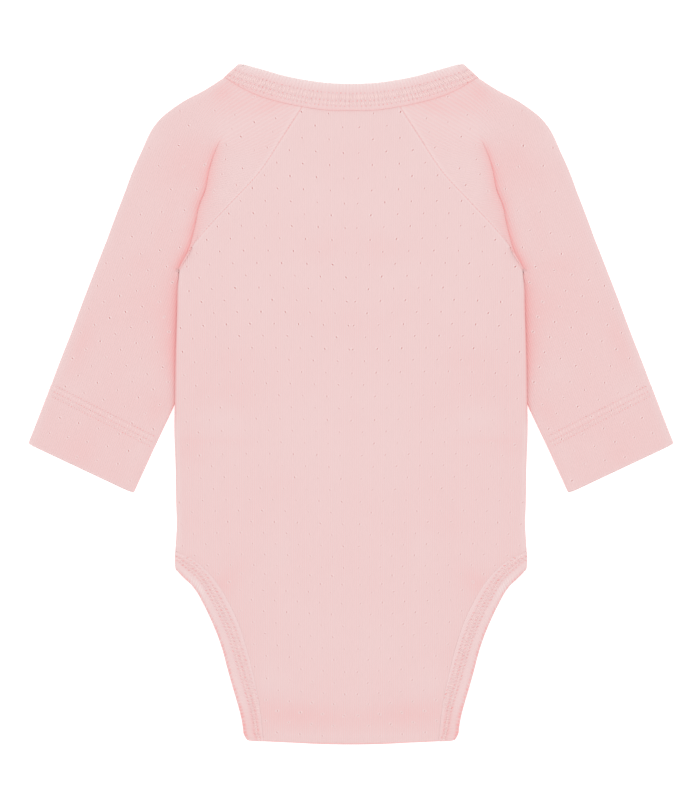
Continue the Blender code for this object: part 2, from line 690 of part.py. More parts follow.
def build():
    for obj in list(bpy.data.objects):
        bpy.data.objects.remove(obj)
    garment = bpy.data.collections.new("baby onesie")
    tab_cutters = bpy.data.collections.new("tab cutters")
    flap_cutters = bpy.data.collections.new("flap cutters")
    for collection in (garment, tab_cutters, flap_cutters):
        bpy.context.scene.collection.children.link(collection)
    knit = material_of("knit", PINK, 0.9)
    trim = material_of("trim", TRIM_PINK, 0.9)
    snap = material_of("snap", SNAP_WHITE, 0.4)
    back = make_back_panel(knit, garment)
    front = make_front_panel(knit, garment)
    make_sleeves(knit, garment)
    make_neckband(trim, garment)
    make_bindings(trim, garment)
    make_snaps(snap, garment, tab_cutters, flap_cutters)
    cut(back, flap_cutters)
    cut(front, tab_cutters)


build()
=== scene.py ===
# Long-sleeved baby bodysuit laid flat with its back up: rib knit panels,
# folded sleeves, rib bands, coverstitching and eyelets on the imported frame.
# Lengths are millimetres until a mesh is written. Tables give the wearer's
# right half, and the left half is its mirror.
import math

import bmesh
import bpy
import numpy as np
from mathutils import Matrix


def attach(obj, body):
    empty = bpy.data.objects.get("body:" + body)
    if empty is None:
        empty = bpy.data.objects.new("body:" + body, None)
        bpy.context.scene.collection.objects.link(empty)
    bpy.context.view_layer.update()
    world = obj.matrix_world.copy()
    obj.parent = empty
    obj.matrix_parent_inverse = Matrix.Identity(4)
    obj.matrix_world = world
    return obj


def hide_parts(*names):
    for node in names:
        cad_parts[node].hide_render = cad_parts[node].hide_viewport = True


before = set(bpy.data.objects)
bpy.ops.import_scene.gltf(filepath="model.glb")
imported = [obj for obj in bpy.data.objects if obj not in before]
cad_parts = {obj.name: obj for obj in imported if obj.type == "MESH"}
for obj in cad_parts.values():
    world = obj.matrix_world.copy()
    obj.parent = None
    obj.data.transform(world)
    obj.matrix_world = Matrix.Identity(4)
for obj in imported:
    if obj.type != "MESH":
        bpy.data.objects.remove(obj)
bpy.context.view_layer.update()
mm = 0.001
print("frame loaded:", len(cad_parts), "nodes")


def ease(share):
    share = np.clip(share, 0.0, 1.0)
    return share * share * (3.0 - 2.0 * share)


def mix(first, second, share):
    return first + (second - first) * share


def ramp(distance, width):
    return np.clip(distance / width, 0.0, 1.0)


def bell(place, strength, centre, width):
    # full at its centre and gone on both sides
    return strength * np.exp(-((place - centre) / width) ** 2)


def fading(distance, strength, reach):
    # full at an edge, and weaker away from it
    return strength * np.exp(-np.maximum(distance, 0.0) / reach)


def wave(place, length, start=0.0):
    return np.sin(2.0 * np.pi * place / length + start)


def through(stations, values, level=False):
    # a smooth function through the values; a level one never overshoots them
    stations, values = np.asarray(stations, float), np.asarray(values, float)
    if stations[0] > stations[-1]:
        stations, values = stations[::-1], values[::-1]
    slopes = np.gradient(values, stations, axis=0)
    if level:
        chords = np.diff(values) / np.diff(stations)
        before = np.concatenate((chords[:1], chords))
        after = np.concatenate((chords, chords[-1:]))
        limit = 3.0 * np.minimum(abs(before), abs(after)) * (before * after > 0.0)
        slopes = np.clip(slopes, -limit, limit)

    def value(station):
        station = np.clip(np.asarray(station, float), stations[0], stations[-1])
        i = np.clip(np.searchsorted(stations, station) - 1, 0, len(stations) - 2)
        span = stations[i + 1] - stations[i]
        t = (station - stations[i]) / span
        if values.ndim > 1:
            span, t = span[..., None], t[..., None]
        rise = t * t * (3.0 - 2.0 * t)
        start = (t - 2.0 * t ** 2 + t ** 3) * span * slopes[i]
        end = (t ** 3 - t ** 2) * span * slopes[i + 1]
        return values[i] * (1.0 - rise) + values[i + 1] * rise + start + end

    return value


def columnOf(table, index):
    return through([row[0] for row in table], [row[index] for row in table], level=True)


def lengthsAlong(points):
    steps = np.linalg.norm(np.diff(points, axis=0), axis=1)
    return np.concatenate(([0.0], np.cumsum(steps)))


def curveThrough(points):
    # a smooth curve, by its share of length
    knots = np.array([point[:2] for point in points], float)
    stations = lengthsAlong(knots)
    fine = through(stations, knots)(np.linspace(0.0, stations[-1], 80 * len(knots)))
    lengths = lengthsAlong(fine)

    def at(share):
        return resampled(fine, lengths / lengths[-1], share)

    at.length = lengths[-1]
    return at


def resampled(points, stations, wanted):
    return np.stack([np.interp(wanted, stations, axis) for axis in points.T], axis=-1)


def beside(line, share, distance):
    # a point to the right of a curve, for someone who walks along it
    share = np.asarray(share, float)
    along = line(np.minimum(share + 0.01, 1.0)) - line(np.maximum(share - 0.01, 0.0))
    along = along / np.linalg.norm(along, axis=-1, keepdims=True)
    right = np.stack((along[..., 1], -along[..., 0]), axis=-1)
    return line(share) + np.asarray(distance, float)[..., None] * right


def unit(vectors):
    return vectors / np.maximum(np.linalg.norm(vectors, axis=-1, keepdims=True), 1e-9)


garment = {
    "clothWall": 1.2, "hemWall": 1.8, "placketWall": 1.8, "bindingWall": 1.8, "bandWall": 2.2,
    "seamGap": 0.0,          # half the space that shows between two sewn pieces
    "edgeRounding": 0.12,
    "pillowWidth": 28.0, "flapUnder": 2.3, "stripUnder": 2.1, "stripRaised": 0.35,
    "tuckLift": 3.35, "tuckMargin": 3.8, "tuckFade": 19.0,
    "fold": (-203.6, 1.5), "tab": (-204.3, 2.6),     # lowest point, and the rise to the ends
    "foldHalfWidth": 53.0, "flapEnd": -172.0, "flapEdge": 64.5, "tabPlacket": -180.0,
    "frontLegInset": 2.5, "armLength": 132.4, "hemDepth": 37.2, "sideEnd": -87.9,
    "snapX": (0.0, 30.0), "snapY": -187.5, "snapDent": (0.28, 6.0, 1.6),
    "frontPanelNeck": 0.44,  # share of the front neck seam on the front panel
}
wall = garment["clothWall"]

# x, y and the top of the cloth, from the centre to the shoulder fold
backNeckSeamTable = [
    (0, 175.8, 3), (15, 176.1, 3.1), (29.4, 178.2, 3.4), (42, 180.8, 3.9), (55.8, 184.9, 4.4),
    (66, 189.6, 4.7), (74, 194.6, 4.8),
]
backNeckTopTable = [
    (0, 192, 3.2), (14, 192.6, 3.3), (28.2, 194.5, 3.7), (41, 197.1, 4.3), (52.2, 200.3, 4.75),
    (64.4, 203.7, 4.8),
]
frontNeckSeamTable = [
    (0, 150.5), (18, 151.5), (36, 155), (54, 163.2), (66, 173), (72.6, 183), (75.7, 192.8),
]
frontNeckTopTable = [
    (0, 165.5), (18, 166.6), (34, 170.6), (48, 178.6), (58.6, 189.4), (66.2, 201.5),
]
shoulderFacing = np.array((0.695, 0.719))
sideFacing = np.array((0.96, 0.28))

armpit = (102.8, 81.0)
backRaglanTable = [
    (29.4, 178.2), (41, 160.2), (53.9, 140.6), (73.7, 118.9), (88.2, 103.3), (95.4, 94.5), armpit,
]
frontRaglanTable = [(60, 136), (80, 112.5), (93, 95.6), armpit]
sideTable = [
    armpit, (103.8, 72), (104.4, 56.4), (105.2, 32.4), (105.7, 0), (106, -15), (105.3, -40),
    (105, -60), (104.6, -72), (105.1, -82), (105.5, -87.9),
]
legSeamTable = [
    (103.75, -89), (95.3, -92.9), (86.4, -100.1), (78.8, -109.4), (73.2, -119.1), (68.4, -129),
    (62.9, -145.2), (58.7, -161.6), (54.9, -179.8), (52.6, -200.2),
]
legEdgeTable = [
    (103.9, -100.6), (100, -104.6), (95.4, -108.9), (92.6, -112.6), (88.5, -120), (83.9, -129.6),
    (79.9, -139.2), (76.7, -148.8), (74.2, -158.4), (71.5, -168), (68.6, -177.6), (66, -187.2),
    (64.8, -194.2), (64.5, -197), (63.2, -200),
]

# y, the space between back and front at the centre, and at the edge
bodyGaps = [
    (178.8, 0.6, 1), (166, 1.4, 1.5), (150, 1.45, 1.6), (120, 1.3, 1.9), (100, 1.2, 2.2),
    (81, 1.1, 2.3), (71, 1.1, 0.7), (55, 1, 0.4), (0, 1, 0.4), (-70, 1.1, 0.5), (-89, 1.2, 1.2),
    (-150, 1.6, 1.3), (-161, 2.6, 2.2), (-169, 3.35, 3.35), (-205, 3.35, 3.35),
]
# y, how far the sleeve reaches under the body, and its share of the edge's lift
tucks = [
    (82, 0, 0), (76.5, 0, 0.5), (71, 0, 0.95), (66, 2, 1), (50, 7.8, 1), (35, 9.8, 1),
    (18, 7.2, 1), (-2, 0.4, 1), (-14, 0, 0.55), (-32, 0, 0),
]

shoulderTable = [
    (76.5, 195), (88.6, 187.9), (99, 182.5), (107.9, 176.5), (114.8, 170.6), (119.4, 164.4),
    (125.2, 152.3), (130.6, 140.3), (135, 128.4), (142.1, 110.4), (146.4, 98.4),
]
armOutsideTable = [(146.4, 98.4), (155.8, 74.4), (169.5, 38.4), (187.8, -9.6), (193.2, -23.3)]
underarmTable = [
    (102.85, 81), (103, 75.5), (102.6, 71), (101.4, 66), (98.6, 58), (96.2, 47), (95.6, 35),
    (98.6, 18), (106.2, -1), (117.9, -26.4), (130, -52.9),
]
sleeveFoldTable = [
    (58, 187), (68.9, 172), (78.9, 156.6), (84.7, 140.4), (87.2, 127.8), (90.7, 118.8),
    (93.4, 106.2), (97.6, 92), (103.5, 81.3),
]
armCrestTable = [(104.3, 81.3), (108, 71), (109, 50), (112, 30), (122, 0), (147.4, -44.1)]
# station from the neck (0) over the armpit (1) to the hem (2), then the top at
# the inner seam, at the fold's two lips and at the outside
sleeveLevels = [
    (0, 3.4, 4.3, 4.3, 4.7), (0.12, 3.6, 4.2, 4.1, 4.4), (0.3, 3.95, 4.3, 3.8, 4),
    (0.5, 4, 4.5, 3.5, 3.6), (0.75, 4.45, 4.8, 3.1, 3.4), (1, 4.7, 4.65, 3.5, 3.4),
    (1.09, 2.75, 2.85, 2.85, 3.4), (1.8, 2.75, 2.9, 3, 3.4), (2, 3.95, 4.15, 4.15, 4.2),
    (3, 3.95, 4.2, 4.2, 4.2),
]

backNeckLevel = columnOf(backNeckSeamTable, 2)
bandLevel = columnOf(backNeckTopTable, 2)
gapCentre, gapEdge = columnOf(bodyGaps, 1), columnOf(bodyGaps, 2)
tuckWidth, tuckLift = columnOf(tucks, 1), columnOf(tucks, 2)
backNeckSeam, backNeckTop = curveThrough(backNeckSeamTable), curveThrough(backNeckTopTable)
frontNeckSeam, frontNeckTop = curveThrough(frontNeckSeamTable), curveThrough(frontNeckTopTable)
backRaglan = curveThrough(backRaglanTable)
frontRaglan = curveThrough([tuple(frontNeckSeam(garment["frontPanelNeck"]))] + frontRaglanTable)
sideX = through([point[1] for point in sideTable], [point[0] for point in sideTable])
legSeam, legEdge = curveThrough(legSeamTable), curveThrough(legEdgeTable)
shoulder, armOutside = curveThrough(shoulderTable), curveThrough(armOutsideTable)
underarm, sleeveFold = curveThrough(underarmTable), curveThrough(sleeveFoldTable)
armCrest = curveThrough(armCrestTable)


def bodyLift(y, inset):
    # how far the sleeve lifts the body, at an inset from the side
    past = inset - tuckWidth(y) - garment["tuckMargin"]
    return garment["tuckLift"] * tuckLift(y) * (1.0 - ease(past / garment["tuckFade"]))


def bodyTop(y, inset):
    gap = mix(gapEdge(y), gapCentre(y), ease(inset / garment["pillowWidth"]))
    return bodyLift(y, inset) + 2.0 * wall + gap


def bottomLine(line, x):
    bottom, rise = line
    return bottom + rise * (x / garment["foldHalfWidth"]) ** 2


cutSteps = np.array((0.0, 0.005, 0.1, 0.2, 0.35, 0.7, 1.1))   # in from a cut edge
edgeColumns = len(cutSteps) - 1
farOff = 9.0                                                   # past any edge's rounding
turnAngles = np.radians((0.0, 4.0, 18.0, 34.0, 52.0, 70.0, 90.0))  # round a seamed side
foldSteps = np.array((0.0, 0.02, 0.1, 0.25, 0.5, 0.8, 1.2, 1.8))   # in from a folded edge


def edgeDrop(distance, wallHere, rounding):
    # how far the face falls away near an edge, half the wall at the edge itself
    k = np.clip(1.0 - distance / rounding, 0.0, 1.0)
    drop = rounding * (1.0 - np.sqrt(1.0 - k * k))
    return np.where(distance <= 0.0, wallHere / 2.0, np.minimum(drop, wallHere / 2.0))


def roundOver(start, end, facing, top, under, share):
    # points round a folded side, from the start on top to the end underneath
    radius = (top - under) / 2.0
    turn = np.pi * (0.5 - share)
    bulge = radius * np.cos(turn)[:, None] * np.asarray(facing)
    spots = mix(np.asarray(start), np.asarray(end), share[:, None]) + bulge
    level = under + radius * (1.0 + np.sin(turn))
    return np.concatenate((spots, level[:, None]), axis=-1), bulge


def normalsOf(face, ring=False):
    normal = unit(np.cross(np.gradient(face, axis=0), np.gradient(face, axis=1)))
    if ring:
        normal[0] = normal[-1] = unit(normal[0] + normal[-1])
    return normal


def sample(grid, r, c):
    r0 = np.clip(np.floor(r).astype(int), 0, grid.shape[0] - 2)
    c0 = np.clip(np.floor(c).astype(int), 0, grid.shape[1] - 2)
    fr, fc = r - r0, c - c0
    if grid.ndim > 2:
        fr, fc = fr[..., None], fc[..., None]
    upper = mix(grid[r0, c0], grid[r0, c0 + 1], fc)
    lower = mix(grid[r0 + 1, c0], grid[r0 + 1, c0 + 1], fc)
    return mix(upper, lower, fr)


def addPiece(name, mesh, material):
    mesh.materials.append(material)
    piece = bpy.data.objects.new(name, mesh)
    bpy.context.scene.collection.objects.link(piece)
    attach(piece, "root")
    return piece


weldDistance = 0.0000008     # metres, far below any cloth detail


def clothWall(name, face, wallHere, drop, relief, facing, place, tone, material,
              crisp=None, ring=False):
    # One closed wall: the first half of the grid's columns is the outer face,
    # and the second half runs back along the inner one.
    crisp = face if crisp is None else crisp
    normal = facing * normalsOf(crisp, ring)
    outer = crisp + normal * (relief - drop)[..., None]
    inner = face - facing * normalsOf(face, ring) * (wallHere - drop)[..., None]
    inner[:, 0], inner[:, -1] = outer[:, 0], outer[:, -1]
    if not ring:
        inner[0], inner[-1] = outer[0], outer[-1]
    rows, columns = face.shape[:2]
    bm = bmesh.new()
    bmesh.ops.create_grid(bm, x_segments=2 * columns - 1, y_segments=rows - 1, size=1.0)
    mesh = bpy.data.meshes.new(name)
    bm.to_mesh(mesh)
    bm.free()
    both = np.concatenate((outer, inner[:, ::-1]), axis=1)
    mesh.vertices.foreach_set("co", (both * mm).astype(np.float32).ravel())
    placeBoth = np.concatenate((place, place[:, ::-1]), axis=1).reshape(-1, 2)
    corners = np.empty(len(mesh.loops), dtype=np.int32)
    mesh.loops.foreach_get("vertex_index", corners)
    layer = mesh.uv_layers.new(name="cloth")
    layer.data.foreach_set("uv", placeBoth[corners].astype(np.float32).ravel())
    toneBoth = np.concatenate((tone, tone[:, ::-1]), axis=1)
    mesh.attributes.new("tone", "FLOAT", "POINT").data.foreach_set(
        "value", toneBoth.astype(np.float32).ravel())
    bm = bmesh.new()
    bm.from_mesh(mesh)
    bmesh.ops.remove_doubles(bm, verts=bm.verts, dist=weldDistance)
    bmesh.ops.recalc_face_normals(bm, faces=bm.faces)
    bm.to_mesh(mesh)
    bm.free()
    mesh.shade_smooth()
    piece = addPiece(name, mesh, material)
    return piece, {"outer": outer, "normal": normal, "area": faceArea(face)}


def faceArea(face):
    across = face[:-1, 1:] - face[:-1, :-1]
    along = face[1:, :-1] - face[:-1, :-1]
    return np.linalg.norm(np.cross(across, along), axis=-1).sum() * mm * mm


def locate(surface, targets, columns, rows=None):
    # grid places that lie over the given points, searched in a range of columns
    first, last = columns
    top, end = rows or (0, surface["outer"].shape[0])
    flat = surface["outer"][top:end, first:last, :2]
    gaps = np.linalg.norm(flat[None] - targets[:, None, None], axis=-1).reshape(len(targets), -1)
    nearest = gaps.argmin(axis=1)
    r = (nearest // (last - first) + top).astype(float)
    c = (nearest % (last - first) + first).astype(float)
    grid = surface["outer"][..., :2]
    for _ in range(6):
        here = sample(grid, r, c)
        down = sample(grid, r + 0.5, c) - sample(grid, r - 0.5, c)
        side = sample(grid, r, c + 0.5) - sample(grid, r, c - 0.5)
        off = targets - here
        area = down[:, 0] * side[:, 1] - down[:, 1] * side[:, 0]
        area = np.where(abs(area) < 1e-6, 1e-6, area)
        dr = (off[:, 0] * side[:, 1] - off[:, 1] * side[:, 0]) / area
        dc = (down[:, 0] * off[:, 1] - down[:, 1] * off[:, 0]) / area
        r = np.clip(r + np.clip(dr, -1.0, 1.0), top, end - 1.001)
        c = np.clip(c + np.clip(dc, -1.0, 1.0), first, last - 1.001)
    return r, c


finishAndPaintedShading = {
    # clothDeep and clothLight are where the tones take the cloth: painted shade and painted
    # light, and the cloth's own deeper and paler patches; hole is the painted shade inside the
    # eyelets
    "cloth": (0.871, 0.632, 0.625), "clothDeep": (0.93, 0.41, 0.403),
    "clothLight": (0.93, 0.77, 0.76), "trim": (0.893, 0.650, 0.644),
    "thread": (0.98, 0.775, 0.745), "hole": (0.605, 0.245, 0.235),
    "knitRibs": (1.30, 1.05, 0.18),     # rib pitch, course pitch and shade of the grooves
    "trimRibs": (1.03, 0.9, 0.06),
    "knitDepth": 0.00014, "threadDepth": 0.00006, "threadTwist": 2600.0,
    "fuzz": (1.6, 0.35, 0.06),          # scale of the noise, its height and its tone
    "cloud": (0.035, 0.12),             # scale and tone
    "snap": (0.80, 0.76, 0.75), "snapRoughness": 0.4, "snapGrain": 1500.0, "snapDepth": 0.00003,
}


def newGroup(name, inputs, outputs):
    group = bpy.data.node_groups.new(name, "ShaderNodeTree")
    for socket, kind in inputs:
        group.interface.new_socket(name=socket, in_out="INPUT", socket_type="NodeSocket" + kind)
    for socket, kind in outputs:
        group.interface.new_socket(name=socket, in_out="OUTPUT", socket_type="NodeSocket" + kind)
    return group, group.nodes.new("NodeGroupInput"), group.nodes.new("NodeGroupOutput")


def feed(tree, socket, value):
    if isinstance(value, bpy.types.NodeSocket):
        tree.links.new(value, socket)
    elif isinstance(value, tuple):
        socket.default_value = (*value, 1.0) if socket.type == "RGBA" else value
    else:
        socket.default_value = value


def maths(tree, operation, *values, clamp=False):
    node = tree.nodes.new("ShaderNodeMath")
    node.operation = operation
    node.use_clamp = clamp
    for socket, value in zip(node.inputs, values):
        feed(tree, socket, value)
    return node.outputs[0]


def blendColors(tree, factor, first, second):
    node = tree.nodes.new("ShaderNodeMix")
    node.data_type = "RGBA"
    feed(tree, node.inputs["Factor"], factor)
    feed(tree, node.inputs[6], first)      # the color sockets come after the other kinds
    feed(tree, node.inputs[7], second)
    return node.outputs[2]


def noise(tree, place, scale, detail=2.0):
    node = tree.nodes.new("ShaderNodeTexNoise")
    node.inputs["Scale"].default_value = scale
    node.inputs["Detail"].default_value = detail
    feed(tree, node.inputs["Vector"], place)
    return node.outputs["Fac"]


def bumpOn(tree, shader, height, strength, depth):
    bump = tree.nodes.new("ShaderNodeBump")
    bump.inputs["Strength"].default_value = strength
    bump.inputs["Distance"].default_value = depth
    feed(tree, bump.inputs["Height"], height)
    feed(tree, shader.inputs["Normal"], bump.outputs["Normal"])


def newMaterial(name):
    material = bpy.data.materials.new(name)
    material.use_nodes = True
    return material, material.node_tree, material.node_tree.nodes["Principled BSDF"]


def makeToneGroup():
    # cloth color turned deeper for tones above 0 and lighter for those below; the tones hold
    # painted shade and painted light as well as the cloth's own patches
    group, given, out = newGroup("Cloth tone", [
        ("Cloth", "Color"), ("Deep", "Color"), ("Light", "Color"), ("Tone", "Float")],
        [("Color", "Color")])
    deeper = maths(group, "MULTIPLY", given.outputs["Tone"], 1.0, clamp=True)
    lighter = maths(group, "MULTIPLY", given.outputs["Tone"], -1.0, clamp=True)
    color = blendColors(group, deeper, given.outputs["Cloth"], given.outputs["Deep"])
    color = blendColors(group, lighter, color, given.outputs["Light"])
    group.links.new(color, out.inputs["Color"])
    return group


def makeKnitGroup():
    # fine ribs of V-shaped stitches, in millimetres of cloth
    group, given, out = newGroup("Rib knit", [
        ("Place", "Vector"), ("Rib Pitch", "Float"), ("Course Pitch", "Float"),
        ("Groove Shade", "Float"), ("Tone", "Float")], [("Tone", "Float"), ("Height", "Float")])
    split = group.nodes.new("ShaderNodeSeparateXYZ")
    group.links.new(given.outputs["Place"], split.inputs[0])
    turns = maths(group, "DIVIDE", split.outputs["X"], given.outputs["Rib Pitch"])
    rib = maths(group, "COSINE", maths(group, "MULTIPLY", turns, 2.0 * math.pi))
    halfTurns = maths(group, "MULTIPLY", turns, math.pi)
    lean = maths(group, "ABSOLUTE", maths(group, "SINE", halfTurns))
    courses = maths(group, "DIVIDE", split.outputs["Y"], given.outputs["Course Pitch"])
    loop = maths(group, "SINE", maths(group, "MULTIPLY", maths(group, "ADD", courses, lean),
                                      2.0 * math.pi))
    fuzzScale, fuzzHeight, fuzzTone = finishAndPaintedShading["fuzz"]
    cloudScale, cloudTone = finishAndPaintedShading["cloud"]
    place = given.outputs["Place"]
    fuzz = maths(group, "SUBTRACT", noise(group, place, fuzzScale), 0.5)
    cloud = maths(group, "SUBTRACT", noise(group, place, cloudScale), 0.5)
    height = maths(group, "MULTIPLY_ADD", loop, 0.12, rib)
    height = maths(group, "MULTIPLY_ADD", fuzz, fuzzHeight, height)
    group.links.new(height, out.inputs["Height"])
    groove = maths(group, "MULTIPLY", height, -0.5)
    tone = maths(group, "MULTIPLY_ADD", groove, given.outputs["Groove Shade"],
                 given.outputs["Tone"])
    tone = maths(group, "MULTIPLY_ADD", fuzz, fuzzTone, tone)
    tone = maths(group, "MULTIPLY_ADD", cloud, cloudTone, tone)
    group.links.new(tone, out.inputs["Tone"])
    return group


toneGroup, knitGroup = makeToneGroup(), makeKnitGroup()


def clothMaterial(name, color, ribs=None, light=None, deep=None):
    material, tree, shader = newMaterial(name)
    shader.inputs["Roughness"].default_value = 0.95
    shader.inputs["Specular IOR Level"].default_value = 0.12
    attribute = tree.nodes.new("ShaderNodeAttribute")
    attribute.attribute_name = "tone"
    tone = attribute.outputs["Fac"]
    if ribs:
        cloth = tree.nodes.new("ShaderNodeUVMap")
        cloth.uv_map = "cloth"
        knit = tree.nodes.new("ShaderNodeGroup")
        knit.node_tree = knitGroup
        feed(tree, knit.inputs["Place"], cloth.outputs["UV"])
        for socket, value in zip(("Rib Pitch", "Course Pitch", "Groove Shade"), ribs):
            knit.inputs[socket].default_value = value
        feed(tree, knit.inputs["Tone"], tone)
        tone = knit.outputs["Tone"]
        height = knit.outputs["Height"]
    else:
        place = tree.nodes.new("ShaderNodeTexCoord")
        height = noise(tree, place.outputs["Object"], finishAndPaintedShading["threadTwist"])
        twist = maths(tree, "MULTIPLY", maths(tree, "SUBTRACT", height, 0.5), 0.2)
        tone = maths(tree, "ADD", tone, twist)
    bumpOn(tree, shader, height, 0.5, finishAndPaintedShading["knitDepth" if ribs else "threadDepth"])
    colors = tree.nodes.new("ShaderNodeGroup")
    colors.node_tree = toneGroup
    for socket, value in (("Cloth", color), ("Deep", deep or finishAndPaintedShading["clothDeep"]),
                          ("Light", light or finishAndPaintedShading["clothLight"]), ("Tone", tone)):
        feed(tree, colors.inputs[socket], value)
    feed(tree, shader.inputs["Base Color"], colors.outputs["Color"])
    return material


def snapMaterial():
    material, tree, shader = newMaterial("satin snap plastic")
    place = tree.nodes.new("ShaderNodeTexCoord")
    grain = noise(tree, place.outputs["Object"], finishAndPaintedShading["snapGrain"], 3.0)
    darker = tuple(0.93 * channel for channel in finishAndPaintedShading["snap"])
    feed(tree, shader.inputs["Base Color"], blendColors(tree, grain, finishAndPaintedShading["snap"], darker))
    rough = maths(tree, "MULTIPLY_ADD", grain, 0.12, finishAndPaintedShading["snapRoughness"] - 0.06)
    feed(tree, shader.inputs["Roughness"], rough)
    bumpOn(tree, shader, grain, 0.2, finishAndPaintedShading["snapDepth"])
    return material


knitMaterial = clothMaterial("rib knit", finishAndPaintedShading["cloth"], ribs=finishAndPaintedShading["knitRibs"])
trimMaterial = clothMaterial("rib trim", finishAndPaintedShading["trim"], ribs=finishAndPaintedShading["trimRibs"])
# the threads keep their own pale colour; the needle holes' dots on this material are painted dark
# as shade
threadAndHoleShadeMaterial = clothMaterial("sewing thread and painted needle hole shade", finishAndPaintedShading["trim"], light=finishAndPaintedShading["thread"])
# the eyelets' bottoms take the hole colour as painted shade inside the holes, and their loops are
# painted lighter as highlights
eyeletMaterial = clothMaterial("eyelet loops and painted hole shade", finishAndPaintedShading["cloth"], deep=finishAndPaintedShading["hole"])
print("materials made")

# x, y, half length, half width, turn in degrees, height, tone; the tone paints shade into the
# troughs and light onto the rises, and stands alone where the height is 0
bodyMarks = [
    (75, -2, 34, 12, 12, -0.25, 0.05), (72, 12, 26, 10, 8, -0.2, 0.05),
    (76, -22.8, 24, 1.6, 2, -0.16, 0.07), (74, -11, 16, 7, 5, 0.2, -0.1),
    (56, -67, 9, 12, 20, -0.2, 0.05), (42, -87, 7, 13, 0, 0.2, -0.06),
    (76, -107, 15, 7, -40, -0.3, 0.13), (48, -169, 10, 6, 0, 0.2, -0.05),
    (30, -187, 24, 8, 3, -0.25, 0.13), (14, 95, 16, 9, -18, -0.2, 0.05),
    (32, 78, 18, 9, 14, 0.15, -0.05), (20, 48, 20, 6, 20, -0.15, 0.04),
    (0, 52, 12, 10, 0, -0.12, 0.04), (60, 60, 12, 18, -8, 0.12, -0.03),
    (40, 150, 8, 26, -30, 0.1, -0.03), (18, 120, 12, 16, 0, 0.12, -0.03),
    (96, 40, 12, 40, 0, -0.1, 0.04), (98, -60, 9, 30, 0, -0.08, 0.03),
    (24, -16, 30, 34, 0, 0, -0.06), (20, -140, 26, 26, 0, 0, -0.05),
    (36, -184, 22, 8, 4, -0.1, 0.07), (0, -189, 14, 6, 0, -0.1, 0.05),
    (28, -199.5, 40, 2.6, 0, 0, -0.06), (70, 27, 16, 9, 0, -0.1, 0.08),
    (97, -26, 12, 10, 0, -0.1, 0.09), (5, 152, 9, 10, 0, 0, 0.05), (76, 103, 7, 6, 0, 0, 0.04),
    (18, 92, 10, 8, 0, 0, 0.045), (76, -5, 10, 8, 0, 0.05, -0.06),
    (47, -48, 12, 8, 0, -0.05, 0.04), (47, -161, 9, 9, 0, 0.05, -0.04),
    (102.8, 76, 1.5, 5, 0, 0, -0.12),
]
# the same columns; the tone paints shade into the troughs and light onto the rises here too
sleeveMarks = [
    (107, 140, 9, 14, 20, -0.25, 0.08), (116, 57, 10, 16, 0, -0.1, 0.07),
    (127, 84, 9, 8, 0, -0.2, 0.07), (112, 106, 5, 22, 16, -0.2, 0.06),
    (139, 60, 12, 22, 22, 0.15, 0.04), (132, 10, 12, 16, 22, -0.1, 0.05),
    (160, -22, 16, 9, -20, -0.1, 0.05), (176, 26, 6, 10, 22, 0.15, -0.08),
    (76.8, 187, 7, 5, -35, -0.04, 0.2), (66, 180, 14, 2.5, -24, -0.2, 0.06),
    (70, 180, 32, 9, -27, -0.1, 0.1), (96, 148, 12, 17, 0, -0.1, 0.1),
    (161, 37, 6, 16, 22, 0, 0.12), (126, 50, 16, 16, 0, -0.1, 0.05),
    (161, -32, 12, 6, -26, 0, 0.05), (67, 166, 16, 6, -20, 0.2, -0.04),
    (47, 179, 10, 4, -14, -0.15, 0.15), (117, -4, 5, 9, 24, 0, 0.1),
    (103.6, 76.5, 1.6, 5, 0, 0, -0.12), (75.6, 168, 8, 8, 0, 0.1, -0.07),
    (75.6, 125, 6, 9, -20, 0.1, -0.12), (60, 143, 8, 10, -30, 0.1, -0.08),
    (126, 17, 12, 8, 0, 0.1, -0.05), (93, 165, 12, 9, -30, 0.15, -0.02),
    (69, 138, 8, 18, -30, 0.15, -0.1), (128, -30, 4, 10, 28, 0.1, -0.06),
    (54, 177, 10, 5, -20, 0, 0.06), (90, 168, 16, 6, -25, 0.05, -0.05),
    (119, 157, 5, 8, 28, 0, -0.08), (90, 136, 8, 8, 0, 0, 0.04), (119, 136, 8, 8, 0, 0, 0.04),
    (97, 114, 9, 6, 0, 0, -0.05), (119, 44, 7, 10, 0, 0, -0.04), (133, 11, 7, 18, 20, 0, -0.04),
    (168, 7, 8, 10, 20, 0.1, -0.07), (148, -26, 8, 8, 0, 0, -0.05),
    (133, -48, 7, 6, -20, 0, -0.06),
]


def softMarks(table, x, y):
    relief, tone = np.zeros_like(x), np.zeros_like(x)
    # depth is the tone column: painted shade in the troughs and painted light on the rises
    for markX, markY, halfLength, halfWidth, turn, height, depth in table:
        c, s = math.cos(math.radians(turn)), math.sin(math.radians(turn))
        along = ((x - markX) * c + (y - markY) * s) / halfLength
        across = ((y - markY) * c - (x - markX) * s) / halfWidth
        spot = np.exp(-along ** 2 - across ** 2)
        relief += height * spot
        tone += depth * spot
    return relief, tone


def unevenness(x, y, seed):
    # slow low waves, a little different for each piece
    waves = np.random.default_rng(seed)
    relief = np.zeros_like(x)
    for wavelength, height in ((62.0, 0.10), (38.0, 0.07), (23.0, 0.04), (11.0, 0.018)):
        for _ in range(3):
            turn, phase = waves.uniform(0.0, math.pi), waves.uniform(0.0, 2.0 * math.pi)
            place = x * math.cos(turn) + y * math.sin(turn)
            relief += height / 1.7 * np.sin(2.0 * math.pi * place / wavelength + phase)
    return relief


